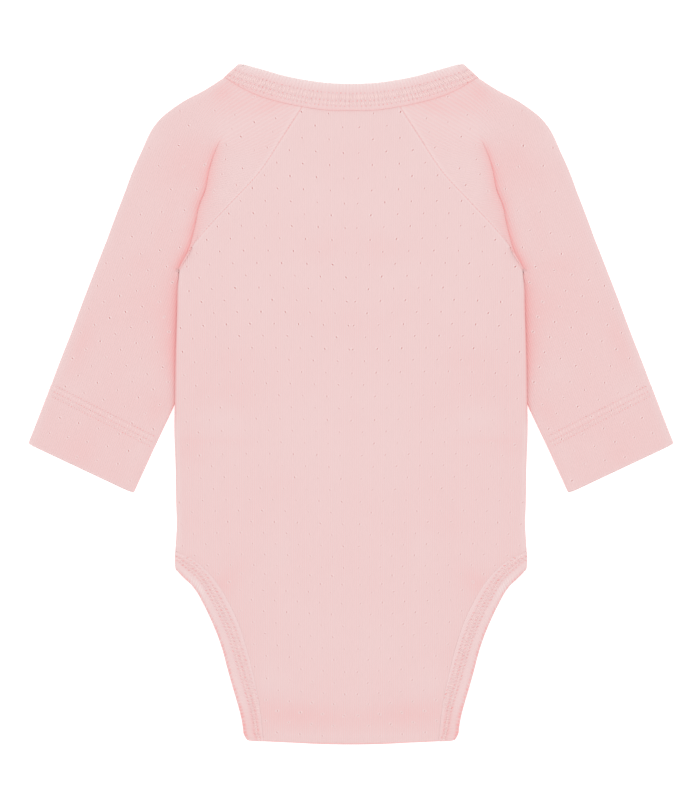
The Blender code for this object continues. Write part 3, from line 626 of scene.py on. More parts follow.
def puckers(along, inset, pitch, height, reach, seed):
    # short gathers that a seam draws in beside it, uneven along the seam
    waves = np.random.default_rng(seed)
    first, second, third = waves.uniform(0.0, 2.0 * math.pi, 3)
    row = (wave(along, pitch, first) + 0.6 * wave(along, pitch * 1.63, second)
           + 0.5 * wave(along, pitch * 0.71, third))
    return height * row * np.exp(-inset / reach) * (1.0 - np.exp(-inset / 0.5))


def lengthwiseTone(y):
    # a little deeper towards the legs and lighter towards the neck
    return -0.00022 * y * (1.0 + (y > 0.0))


raglanGathers = (4.3, 0.05, 3.0, 3)     # pitch, height, reach and seed
bodyPanels = {
    "raglanRows": 68, "sideRows": 60, "legRows": 56, "foldRows": 12, "flapRows": 8,
    "columns": 46, "edgeCrowding": 1.35,
    "tabSteps": (1.5, 1.0, 0.7, 0.45, 0.25, 0.1, 0.02, 0.0),
    "tabRounding": 0.9, "flapRounding": 0.3, "neckGathers": (3.7, 0.07, 3.0, 9),
    # strength, place in from the edge and width; where there are two, strength and reach
    "raglanRidge": (0.07, 1.4, 0.9), "raglanShade": (0.50, 0.0, 0.35),
    "raglanLight": (-0.16, 1.3, 0.7), "sideLight": (-0.20, 1.6, 1.4),
    "sideShade": (0.10, 0.8), "sleeveShade": (0.65, 0.55), "neckShade": (0.25, 0.8),
    "legShade": (0.05, 8.0), "legLight": (-0.20, 0.5), "foldShade": 0.3,
}
raglanRowCount = edgeColumns + bodyPanels["raglanRows"] - 1


flipX = np.array((-1.0, 1.0, 1.0))


def mirrored(half):
    other = half[:, :0:-1]
    if half.ndim > 2:
        other = other * flipX
    return np.concatenate((other, half), axis=1)


def panelEdge(raglan, legInset):
    # edge points from the neck to the crotch, and how far along each part they are
    s = bodyPanels
    raglanShares = np.concatenate((cutSteps[:edgeColumns] / raglan.length,
                                   np.linspace(0.0, 1.0, s["raglanRows"])[1:]))
    legShares = np.linspace(0.0, 1.0, s["legRows"])
    sideY = np.linspace(armpit[1], garment["sideEnd"], s["sideRows"])[1:]
    edge = np.concatenate((beside(raglan, raglanShares, garment["seamGap"]),
                           np.stack((sideX(sideY) - 0.1, sideY), axis=-1),
                           beside(legSeam, legShares, legInset * ease(4.0 * legShares))))
    down = np.concatenate((raglanShares, np.ones(len(sideY) + len(legShares))))
    leg = np.concatenate((np.zeros(len(raglanShares) + len(sideY)), legShares))
    side = np.concatenate((np.zeros(len(raglanShares)), np.ones(len(sideY)),
                           np.zeros(len(legShares))))
    # the sides are round where they are seamed, but for their ends
    turned = side * ease((armpit[1] - edge[:, 1]) / 5.0) * ease((edge[:, 1] + 88.2) / 3.0)
    return edge, down, leg, turned


def panelColumns(edgeX, edgeY, turned):
    # x of each column from the centre out, and the fall round a seamed side
    s = bodyPanels
    radius = (2.0 * wall + gapEdge(edgeY)) / 2.0 - 0.02
    flat, round_ = cutSteps[None], radius[:, None] * (1.0 - np.cos(turnAngles))
    insets = mix(flat, round_, turned[:, None])
    fall = (turned * radius)[:, None] * (1.0 - np.sin(turnAngles))
    spread = 1.0 - (1.0 - np.arange(s["columns"] + 1) / s["columns"]) ** s["edgeCrowding"]
    inner = (edgeX - insets[:, -1])[:, None] * spread
    border = slice(edgeColumns - 1, None, -1)
    x = np.concatenate((inner, edgeX[:, None] - insets[:, border]), axis=1)
    fall = np.concatenate((np.zeros_like(inner), fall[:, border]), axis=1)
    return x, fall


def straightColumns(half, rows):
    return panelColumns(np.full(rows, half), np.full(rows, garment["fold"][0]), np.zeros(rows))[0]


def panelDrop(inset, turned, wallHere):
    cut = edgeDrop(inset, wallHere, garment["edgeRounding"])
    seamed = np.where(inset <= 0.0, wallHere / 2.0, 0.0)
    return mix(cut, seamed, turned[:, None])


# y, eyelets' spacing across and down, and where the two rows of the lattice start
eyeletTable = [
    (190, 15.5, 15.6, -0.2, -0.33), (165, 15.5, 15.6, -0.15, -0.35),
    (125, 15.6, 15.3, -0.05, -0.41), (105, 15.6, 15.2, 0.05, -0.41),
    (85, 15.2, 14.9, 0.09, -0.41), (65, 14.9, 14.6, 0.14, -0.44), (45, 14.8, 14.4, 0.25, -0.51),
    (25, 14.6, 14.2, 0.31, -0.57), (5, 14.5, 14.1, 0.36, -0.62), (-15, 14.3, 13.9, 0.37, -0.65),
    (-35, 14.2, 13.7, 0.39, -0.71), (-55, 14, 13.5, 0.42, -0.785),
    (-75, 13.8, 13.35, 0.48, -0.83), (-88, 13.7, 13.27, 0.52, -0.85),
    (-98, 13.6, 13.2, 0.55, -0.85), (-114, 13.6, 13.17, 0.84, -0.33),
    (-120, 13.6, 13.15, 0.86, -0.36), (-136, 13.6, 13.1, 0.9, -0.48),
    (-152, 13.6, 13, 0.93, -0.58), (-168, 13.6, 12.97, 0.9, -0.68),
    (-184, 13.6, 12.92, 0.9, -0.6), (-200, 13.6, 12.9, 0.87, -0.6),
]


# powers of x / 100 and y / 200, then how far the rows and columns of eyelets drift
bodyDrift = [
    (0, 0, -0.072, 0.002), (0, 1, 0.047, -0.09), (0, 2, -0.067, -0.03), (0, 3, -0.009, -0.027),
    (1, 0, 0.176, -0.101), (1, 1, -0.017, 0.707), (1, 2, 0.345, 0.151), (2, 0, 0.22, 0.146),
    (2, 1, -0.127, -0.979), (3, 0, -0.467, -0.184),
]


def drift(table, first, second):
    terms = [(first ** i * second ** j, a, b) for i, j, a, b in table]
    return sum(term * a for term, a, _ in terms), sum(term * b for term, _, b in terms)


def bodyLattice(x, y):
    # two numbers that are both whole at each eyelet of the right half
    known, spacings, steps, firstStarts, secondStarts = np.array(eyeletTable[::-1], float).T
    stations = np.linspace(-260.0, 220.0, 961)
    rise = 1.0 / np.interp(stations, known, steps)
    stride = stations[1] - stations[0]
    climbed = np.concatenate(([0.0], np.cumsum((rise[1:] + rise[:-1]) / 2.0 * stride)))
    climbed -= np.interp(0.0, stations, climbed)
    up, across = np.interp(y, stations, climbed), x / np.interp(y, known, spacings)
    rows, columns = drift(bodyDrift, x / 100.0, y / 200.0)
    first = up - across - np.interp(y, known, firstStarts) - rows + columns
    second = up + across - np.interp(y, known, secondStarts) - rows - columns
    return first, second


def wholePlaces(first, second, rows, columns):
    # grid places where both lattice numbers are whole
    cells = (slice(rows[0], rows[1]), slice(columns[0], columns[1]))
    first, second = first[cells], second[cells]

    def corners(values):
        return np.stack((values[:-1, :-1], values[:-1, 1:], values[1:, :-1], values[1:, 1:]))

    a, b = corners(first), corners(second)
    wantA, wantB = np.floor(a.max(axis=0)), np.floor(b.max(axis=0))
    r, c = np.nonzero((wantA >= a.min(axis=0)) & (wantB >= b.min(axis=0)))
    a, b = a[:, r, c], b[:, r, c]
    offA, offB = wantA[r, c] - a.mean(axis=0), wantB[r, c] - b.mean(axis=0)
    aDown, aSide = (a[2] + a[3] - a[0] - a[1]) / 2.0, (a[1] + a[3] - a[0] - a[2]) / 2.0
    bDown, bSide = (b[2] + b[3] - b[0] - b[1]) / 2.0, (b[1] + b[3] - b[0] - b[2]) / 2.0
    size = aDown * bSide - aSide * bDown
    size = np.where(abs(size) < 1e-9, 1e-9, size)
    dr = (offA * bSide - aSide * offB) / size
    dc = (aDown * offB - offA * bDown) / size
    inside = (abs(dr) <= 0.5) & (abs(dc) <= 0.5)
    return (r + 0.5 + dr + rows[0])[inside], (c + 0.5 + dc + columns[0])[inside]


def frontTab():
    # rows at the front's end: half width, x, y, z and the distance to the end
    steps = np.array(bodyPanels["tabSteps"])
    half = garment["foldHalfWidth"] - garment["frontLegInset"]
    x = straightColumns(half, len(steps))
    return half, x, bottomLine(garment["tab"], x) + steps[:, None], np.zeros_like(x), steps


def backFlap():
    # rows round the fold at the bottom and along the flap under it
    s = bodyPanels
    half, under, turns = garment["foldHalfWidth"], garment["flapUnder"], s["foldRows"]
    x = straightColumns(half, turns + s["flapRows"])
    radius = (float(bodyTop(garment["fold"][0], 0.0)) - under) / 2.0
    turn = np.pi * np.arange(1, turns + 1)[:, None] / turns
    crease = bottomLine(garment["fold"], x)
    foldY = crease[:turns] + radius * (1.0 - np.sin(turn))
    foldZ = under + radius * (1.0 + np.cos(turn)) + 0.0 * foldY
    up = (np.arange(1, s["flapRows"] + 1) / s["flapRows"])[:, None] ** 0.7
    flapY = mix(crease[turns:] + radius, garment["flapEnd"], up)
    end = np.full(len(x), farOff)
    end[-1] = 0.0
    return (half, x, np.concatenate((foldY, flapY)),
            np.concatenate((foldZ, np.full(flapY.shape, under))), end)


def panelForm(front):
    # the panel's right half as rows from the neck down, with its walls and edges
    s = bodyPanels
    raglan, seam = (frontRaglan, frontNeckSeam) if front else (backRaglan, backNeckSeam)
    edge, down, leg, turned = panelEdge(raglan, garment["frontLegInset"] if front else 0.0)
    edgeX, edgeY = edge[:, 0], edge[:, 1]
    neckDrop = seam(0.0)[1] - raglan(0.0)[1]
    fall = (1.0 - down) ** 1.5 if front else 1.0 - ease(down)
    centreY = edgeY + neckDrop * fall - garment["fold"][1] * ease(leg)
    x, sideFall = panelColumns(edgeX, edgeY, turned)
    y = mix(centreY[:, None], edgeY[:, None], (x / edgeX[:, None]) ** 2)
    neckLine = seam(np.linspace(0.0, 1.0, 400))
    amiss = np.interp(x[0], neckLine[:, 0], neckLine[:, 1]) - y[0]
    y = y + amiss[None] * (1.0 - ease(down / 0.3))[:, None]
    inset = edgeX[:, None] - x
    z = bodyLift(y, inset) + sideFall if front else bodyTop(y, inset) - sideFall
    half, moreX, moreY, moreZ, moreEnd = frontTab() if front else backFlap()
    x, y, z = (np.concatenate(pair) for pair in ((x, moreX), (y, moreY), (z, moreZ)))
    inset = np.concatenate((inset, half - moreX))
    turned = np.concatenate((turned, np.zeros(len(moreX))))
    start = np.full(len(x), farOff)
    start[:edgeColumns] = cutSteps[:edgeColumns]
    end = np.concatenate((np.full(len(edge), farOff), moreEnd))
    walls = np.full(x.shape, wall)
    if front:
        walls = mix(garment["placketWall"], walls, ease((y - garment["tabPlacket"]) / 0.8 + 1.0))
    else:
        walls[-s["flapRows"] + 1:] = garment["placketWall"]
    drop = panelDrop(inset, turned, walls)
    drop = np.maximum(drop, edgeDrop(start[:, None], walls, garment["edgeRounding"]))
    rounding = s["tabRounding" if front else "flapRounding"]
    drop = np.maximum(drop, edgeDrop(end[:, None], walls, rounding))
    return {"face": np.stack((x, y, z), axis=-1), "walls": walls, "drop": drop, "inset": inset,
            "end": end, "edgeRows": len(edge)}


def panelLooks(form, front):
    # relief in millimetres and tone, for each point of the right half
    s = bodyPanels
    face, inset, edgeRows = form["face"], form["inset"], form["edgeRows"]
    x, y = face[..., 0], face[..., 1]
    rows = np.arange(len(x))
    onRaglan = ease((raglanRowCount + 1 - rows) / 3.0)[:, None]
    onLeg = ease((rows - raglanRowCount - s["sideRows"] + 3.0) / 3.0)[:, None]
    neckInset = y[0][None] - y
    relief, tone = softMarks(bodyMarks, x, y)
    relief += 0.7 * unevenness(x, y, 11 if front else 5)
    relief += puckers(lengthsAlong(face[:, -1])[:, None], inset, *raglanGathers)
    relief += bell(inset, *s["raglanRidge"]) * onRaglan
    relief += puckers(x, neckInset, *s["neckGathers"])
    relief *= ramp(inset, 1.2) * ramp(neckInset, 1.0)
    if front:
        relief = np.minimum(relief, 0.0) * ramp(form["end"][:, None], 1.5)
    relief *= (1.0 - ease((rows - (edgeRows - 4)) / 4.0))[:, None]
    if front:
        depth, reach, width = garment["snapDent"]
        for snapX in garment["snapX"]:     # the cloth gives way a little round each cap
            away = np.hypot(x - snapX, y - garment["snapY"])
            relief = mix(-depth, relief, ease((away - reach) / width))
    onSide = (1.0 - onRaglan) * (1.0 - onLeg)
    besideSleeve = ease((y + 18.0) / 14.0)
    sleeveShade = besideSleeve * (1.0 - 0.8 * ease((y - 58.0) / 14.0))
    tone += onSide * (fading(inset, *s["sideShade"])
                      + sleeveShade * fading(inset, *s["sleeveShade"])
                      + (1.0 - besideSleeve) * bell(inset, *s["sideLight"]))
    tone += onRaglan * (bell(inset, *s["raglanShade"]) + bell(inset, *s["raglanLight"]))
    tone += onLeg * (fading(inset, *s["legShade"]) + fading(inset, *s["legLight"]))
    tone += fading(neckInset, *s["neckShade"]) + lengthwiseTone(y)
    tone[edgeRows + 2:edgeRows + 6] += s["foldShade"]
    return relief, tone


def makePanel(name, node, front):
    form = panelForm(front)
    relief, tone = panelLooks(form, front)
    face = mirrored(form["face"])
    place = face[..., :2].copy()
    piece, surface = clothWall(name, face, mirrored(form["walls"]), mirrored(form["drop"]),
                               mirrored(relief), -1.0 if front else 1.0, place, mirrored(tone),
                               knitMaterial)
    x, y = form["face"][..., 0], form["face"][..., 1]
    first, second = bodyLattice(x, y)
    r, c = wholePlaces(first, second, (6, form["edgeRows"] - 1), (0, x.shape[1] - 6))
    centre = x.shape[1] - 1
    lone = sample(x, r, c) < 1.0           # an eyelet on the centre line has no twin
    surface["eyelets"] = (np.concatenate((r, r[~lone])),
                          np.concatenate((centre + c, centre - c[~lone])))
    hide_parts(node)
    return piece, surface


backPiece, backSurface = makePanel("backPanelKnit", "back_panel", False)
print("back panel made:", len(backPiece.data.polygons), "faces")
frontPiece, frontSurface = makePanel("frontPanelKnit", "front_panel", True)
print("front panel made:", len(frontPiece.data.polygons), "faces")

# The sleeves. Each row runs from the inner seam over the fold to the outside,
# round it and back along the under layer.
sleeve = {
    "raglanRows": 66, "armRows": 44, "hemRows": (87.0, 108.0, 0.6), "cuffRows": 15,
    "triangleColumns": 12, "armColumns": 22, "roundColumns": 12, "underColumns": 22,
    "foldStart": 0.26, "foldFull": 0.40,    # shares of the seam over which the fold sets in
    "foldRoom": 3.5, "narrowestFold": 0.4, "edgeRoom": 3.2, "halfCuff": 35.0, "neckBlend": 11.0,
    "cornerRounding": 1.6, "hemRounding": 0.9,
    "hemAtOutside": 93.2, "hemSlope": 0.100, "hemStep": 0.22, "needleRows": (-0.9, 2.7, 5.9),
    "needleDip": 0.06, "stitchPitch": 1.8, "stitchSpan": (-69.0, -2.5), "threadTone": 0.45,
    "holeSize": (0.44, 0.30, 0.08), "holeTone": 0.62, "cuffWaves": (0.10, 3.0, 4.0),
    "neckGathers": (3.7, 0.09, 4.0, 9), "lowEyelets": 0.85,
    # strength, place and width, or strength and reach
    "raglanRidge": (0.05, 1.4, 0.9), "raglanShade": (0.34, 0.0, 0.3),
    "raglanLight": (-0.38, 2.1, 1.6), "neckShade": (0.25, 0.8),
    "foldShade": (0.72, 2.1), "foldWideShade": (0.07, 9.0), "crestShade": (0.45, 3.2),
    "bodyShade": (0.58, 3.8), "bodyWideShade": (0.10, 9.0), "outlineLight": (-0.22, 1.0, 1.6),
    "endLight": (-0.15, 1.2), "upperShade": 0.08, "cuffShade": 0.01, "needleShade": 0.015,
}
# y and strength of the shadow that the body's edge casts on the sleeve
bodyShadeTable = [
    (-8, 0), (-1.5, 0.9), (8, 0.9), (20, 0.95), (34, 1), (60, 1), (74, 0.8), (84, 0.65),
    (92, 0.6),
]
armAlong, armAcross = np.array((0.3625, -0.932)), np.array((0.932, 0.3625))
armOrigin = np.array(armOutsideTable[0])
foldTop = np.array((79.8, 156.6))     # where the sleeve's fold begins
neckRib = (24.5, -75.3)               # the way the ribs run from there beside the neck
ribTurn = 56.7                        # and how far they are turned, in degrees
sleeveDrift = [
    (0, 0, 0.195, -0.181), (0, 1, -0.536, 0.513), (0, 2, 0.222, -0.994), (0, 3, 0.239, -0.808),
    (1, 0, -0.305, 0.141), (1, 1, 0.672, -1.425), (1, 2, -0.782, 0.344), (2, 0, 0.084, -0.094),
    (2, 1, 0.517, -0.263), (3, 0, 0.149, -0.199),
]
# x, y and strength of the eyelets between the neck and the fold, where the ribs turn
neckEyelets = [
    (97.2, 166.8, 0.85), (103.2, 154.8, 1.15), (115.2, 142.8, 0.7), (100.2, 142.2, 0.7),
    (87.6, 143.4, 0.6), (88.8, 156.6, 0.5), (90.6, 179.7, 0.45), (81.6, 175.8, 0.7),
    (121, 153.6, 0.5), (102.6, 176, 0.5), (58, 184, 1), (69.6, 173.2, 0.45), (58, 168.9, 1.1),
    (66, 160.2, 0.9), (71.4, 164.8, 0.35), (45.2, 171.2, 0.7), (46.9, 163.1, 0.6),
    (74.7, 155.2, 0.4), (57.9, 152.1, 0.6), (50.2, 153.7, 0.7), (75.1, 146.6, 0.9),
    (77.3, 137.7, 0.7), (65, 141.2, 1), (68.7, 131.2, 0.8), (82, 127.6, 0.35),
]
# past the crest, share of the drop, and the same point's place on the plain form
foldProfile = np.array([
    (-3, 0, -3), (-1.6, -0.02, -1.9), (-0.8, 0.02, -1.2), (-0.25, 0.12, -0.7), (0.1, 0.3, -0.3),
    (0.15, 0.5, 0), (-0.1, 0.72, 0.35), (-0.45, 0.9, 0.7), (0.4, 1.06, 1.1), (1.5, 1.14, 1.8),
    (3.5, 1.1, 3.5), (7, 1.04, 7), (11, 1, 11),
])
# past the crest, and share of the drop, where the fold is soft
plainLips = np.array([(-2, 0), (-0.4, 0.08), (0.5, 0.42), (1.3, 0.82), (2.8, 1)])


def armPlace(points):
    # distance along and across the arm
    off = points - armOrigin
    return off @ armAlong, off @ armAcross


def sleeveGuides(raglanShares, armDistances):
    # what each row of the sleeve runs between, from the neck to the cuff
    s = sleeve
    hem = 1.0 - garment["hemDepth"] / garment["armLength"]
    armShares = np.minimum(armDistances / garment["armLength"], 1.0)
    shares = np.concatenate((raglanShares, armShares))
    onArm = np.concatenate((np.zeros(len(raglanShares)), np.ones(len(armShares))))
    stations = np.concatenate((raglanShares, 1.0 + armShares / hem))
    isArm = onArm[:, None] > 0.5
    gap = garment["seamGap"]
    inner = np.where(isArm, underarm(shares), beside(backRaglan, shares, -gap))
    under = np.where(isArm, underarm(shares), beside(frontRaglan, shares, -gap))
    crest = np.where(isArm, armCrest(shares), sleeveFold(shares))
    levels = [columnOf(sleeveLevels, k)(stations) for k in (1, 2, 3, 4)]
    radius = levels[3] / 2.0
    centre = np.where(isArm, beside(armOutside, shares, radius), beside(shoulder, shares, radius))
    outline = np.where(isArm, armOutside(shares), shoulder(shares))
    fold = ((1.0 - onArm) * ease((shares - s["foldStart"]) / (s["foldFull"] - s["foldStart"]))
            * (1.0 - ease((shares - 0.955) / 0.045)))
    return {"shares": shares, "onArm": onArm, "inner": inner, "under": under, "crest": crest,
            "levels": levels, "radius": radius, "centre": centre, "fold": fold,
            "facing": (outline - centre) / radius[:, None],
            "turned": onArm * ease((stations - 1.0) / 0.07),
            "beyond": np.concatenate((np.zeros(len(raglanShares)),
                                      np.maximum(armDistances - garment["armLength"], 0.0)))}


def evenly(first, last, count):
    return mix(first, last, (np.arange(1, count) / count)[None])


def upperLevel(levels, past, narrow, toCrest, reach):
    # the upper layer's level at distances past the crest
    innerTop, crestTop, troughTop, outerTop = (level[:, None] for level in levels)
    lipStart, lipEnd = plainLips[0, 0] * narrow, plainLips[-1, 0] * narrow
    lip = np.interp((past / narrow).ravel(), plainLips[:, 0], plainLips[:, 1])
    before = np.clip((lipStart - past) / np.maximum(toCrest + lipStart, 0.3), 0.0, 1.0)
    level = mix(crestTop, troughTop, lip.reshape(past.shape))
    level = mix(level, innerTop, before)
    rest = (past - lipEnd) / np.maximum(reach - lipEnd, 1.0)
    return mix(level, outerTop, ease(rest) * (rest > 0.0))


def sleeveOutside(guides, endInsets, fall):
    # round the outside, and back along the under layer to the seam
    s = sleeve
    centre, under, radius = guides["centre"], guides["under"], guides["radius"][:, None]
    turn = np.pi * (0.5 - np.arange(s["roundColumns"] + 1) / s["roundColumns"])
    spots = centre[:, None] + guides["facing"][:, None] * (radius * np.cos(turn))[..., None]
    rounded = np.concatenate((spots, (radius * (1.0 + np.sin(turn)))[..., None]), axis=-1)
    width = np.linalg.norm(centre - under, axis=1)[:, None]
    along = evenly(0.0, width - endInsets[:, :1], s["underColumns"])
    underSpots = np.concatenate((width - along, endInsets), axis=1)
    below = under[:, None] + unit(centre - under)[:, None] * underSpots[..., None]
    belowLevel = np.concatenate((np.zeros_like(along), fall[:, ::-1]), axis=1)
    return rounded, np.concatenate((below, belowLevel[..., None]), axis=-1)


def endedAtCuff(face, beyond, endSteps):
    # the rows past the arm's length, drawn in at the cuff's rounded corners
    s = sleeve
    face[..., :2] += beyond[:, None, None] * armAlong
    heart = face[..., :2].mean(axis=1, keepdims=True)
    k = np.clip(1.0 - endSteps / s["cornerRounding"], 0.0, 1.0)
    shrink = s["cornerRounding"] * (1.0 - np.sqrt(1.0 - k * k)) / s["halfCuff"]
    face[..., :2] = heart + (face[..., :2] - heart) * (1.0 - shrink)[:, None, None]
    return face


def sleeveRows(raglanShares, armDistances, endSteps):
    # base and crisp faces, and what each column and row is
    s = sleeve
    guides = sleeveGuides(raglanShares, armDistances)
    crest, centre = guides["crest"], guides["centre"]
    turned, fold = guides["turned"][:, None], guides["fold"][:, None]
    innerTop, crestTop, troughTop, _ = (level[:, None] for level in guides["levels"])
    across = unit(centre - guides["inner"])
    toCrest = np.linalg.norm(crest - guides["inner"], axis=1)[:, None]
    reach = np.einsum("ij,ij->i", centre - crest, across)[:, None]
    narrow = np.clip(toCrest / s["foldRoom"], s["narrowestFold"], 1.0)

    def levelAt(past):
        return upperLevel(guides["levels"], past, narrow, toCrest, reach)

    def lay(distances, levels):
        spots = crest[:, None] + across[:, None] * distances[..., None]
        return np.concatenate((spots, levels[..., None]), axis=-1)

    plain = mix(np.linspace(-1.5, 11.0, len(foldProfile)), foldProfile[:, 2], 1.0 - turned)
    base = plain * narrow
    past = mix(plain, foldProfile[:, 0], fold) * narrow
    squeeze = np.clip(np.minimum(base[:, :1] + toCrest, 9.0) / s["edgeRoom"], 0.06, 1.0)
    edgeRadius = innerTop / 2.0 - 0.02
    insets = mix(cutSteps[None], edgeRadius * (1.0 - np.cos(turnAngles)), turned)
    fall = turned * edgeRadius * (1.0 - np.sin(turnAngles))
    startInsets, endInsets = insets * squeeze, insets[:, ::-1]

    border = startInsets - toCrest
    triangle = evenly(border[:, -1:], base[:, :1], s["triangleColumns"])
    arm = evenly(past[:, -1:], reach, s["armColumns"])
    crispLevel = mix(levelAt(base), mix(crestTop, troughTop, foldProfile[:, 1]), fold)
    crispLevel[:, -2:] = levelAt(base)[:, -2:]
    before = (lay(border, levelAt(border) - fall), lay(triangle, levelAt(triangle)))
    after = (lay(arm, levelAt(arm)), *sleeveOutside(guides, endInsets, fall))
    faces = [endedAtCuff(np.concatenate((*before, middle, *after), axis=1), guides["beyond"],
                         endSteps)
             for middle in (lay(base, levelAt(base)), lay(past, crispLevel))]

    pastCrest, inset = np.full(faces[0].shape[:2], 60.0), np.full(faces[0].shape[:2], farOff)
    foldColumn = border.shape[1] + triangle.shape[1]
    roundColumn = foldColumn + past.shape[1] + arm.shape[1]
    pastCrest[:, :roundColumn] = np.concatenate((border, triangle, past, arm), axis=1)
    inset[:, :border.shape[1]], inset[:, -border.shape[1]:] = startInsets, endInsets
    guides.update(base=faces[0], crisp=faces[1], foldColumn=foldColumn,
                  roundColumn=roundColumn, past=pastCrest, inset=inset)
    return guides


def neckRow(row, roundColumn):
    # the sleeve's first row, along the neck seam and round the shoulder fold
    start = beside(backRaglan, np.array(0.0), -garment["seamGap"])[0]
    back, front = backNeckSeam(1.0), frontNeckSeam(1.0)
    upper = row[:roundColumn]
    x = mix(start, back[0], (upper[:, 0] - upper[0, 0]) / (row[roundColumn, 0] - upper[0, 0]))
    line = backNeckSeam(np.linspace(0.0, 1.0, 400))
    first = np.stack((x, np.interp(x, line[:, 0], line[:, 1]), backNeckLevel(x)), axis=-1)
    share = np.arange(sleeve["roundColumns"] + 1) / sleeve["roundColumns"]
    second, _ = roundOver(back, front, shoulderFacing, backNeckSeamTable[-1][2], 0.0, share)
    lower = row[roundColumn + len(share):]
    centre, last = row[roundColumn + len(share) - 1, :2], row[-1, :2]
    gone = np.linalg.norm(lower[:, :2] - centre, axis=1) / np.linalg.norm(last - centre)
    spots = frontNeckSeam(mix(1.0, garment["frontPanelNeck"] + 0.0002, gone))
    third = np.concatenate((spots, np.zeros((len(spots), 1))), axis=-1)
    return np.concatenate((first, second, third))


def sleeveGrain(rows):
    # millimetres of cloth across and along the arm; the fold hides a turn of the ribs
    face, foldShare, onArm = rows["base"], rows["shares"][:, None], rows["onArm"][:, None] > 0.5
    al, q = armPlace(face[..., :2])
    off = face[..., :2] - foldTop
    angle = np.degrees(np.arctan2(off[..., 1], off[..., 0]))
    swept = (angle - math.degrees(math.atan2(neckRib[1], neckRib[0]))) % 360.0
    crestSide = np.arange(face.shape[1])[None] < rows["foldColumn"] + 6
    onFold = foldShare > sleeve["foldStart"]
    swept = np.where(onFold & crestSide & (swept < 120.0), 360.0, swept)
    swept = np.where(onFold & ~crestSide & (swept > 300.0), 0.0, swept)
    swept = np.where(onArm & (swept > 180.0), 0.0, swept)
    turn = np.radians(ribTurn) * ease((swept - 110.0) / 180.0)
    topAl, topQ = armPlace(foldTop)
    reach = np.linalg.norm(off, axis=-1)
    direction = np.arctan2(q - topQ, al - topAl)
    u = topQ + reach * np.sin(direction - turn)
    v = topAl + reach * np.cos(direction - turn)
    middle = rows["roundColumn"] + sleeve["roundColumns"] // 2    # and on round the outline
    u[:, middle:] = (u + q)[:, middle:middle + 1] - q[:, middle:]
    v[:, middle:] = (v - al)[:, middle:middle + 1] + al[:, middle:]
    return u, v


def hemLine(q):
    # how far along the arm the first needle row of the hem lies
    return sleeve["hemAtOutside"] - sleeve["hemSlope"] * (q + 1.3)


def makeSleeveGrid():
    s = sleeve
    raglanShares = np.concatenate((cutSteps[:edgeColumns] / backRaglan.length,
                                   np.linspace(0.0, 1.0, s["raglanRows"])[1:]))
    length, blend = garment["armLength"], s["neckBlend"]
    hemStart, hemEnd, hemSpacing = s["hemRows"]
    arm = np.concatenate((np.linspace(0.0, hemStart - 1.0, s["armRows"])[1:],
                          np.arange(hemStart, hemEnd, hemSpacing),
                          np.linspace(hemEnd + 0.5, length - 1.2, s["cuffRows"]),
                          length + 1.0 - foldSteps[::-1][1:]))
    endSteps = np.concatenate((np.full(len(raglanShares) + len(arm) - 7, farOff),
                               foldSteps[::-1][1:]))
    rows = sleeveRows(raglanShares, arm, endSteps)
    reference = sleeveRows(np.array((1.0 / blend,)), np.array((50.0,)), np.full(2, farOff))
    neck = neckRow(reference["base"][0], rows["roundColumn"])
    near = (rows["onArm"] < 0.5) & (rows["shares"] < 1.0 / blend)
    for key in ("base", "crisp"):
        rows[key][near] = mix(neck[None], reference["base"][:1],
                              (rows["shares"][near] * blend)[:, None, None])
    return rows, endSteps


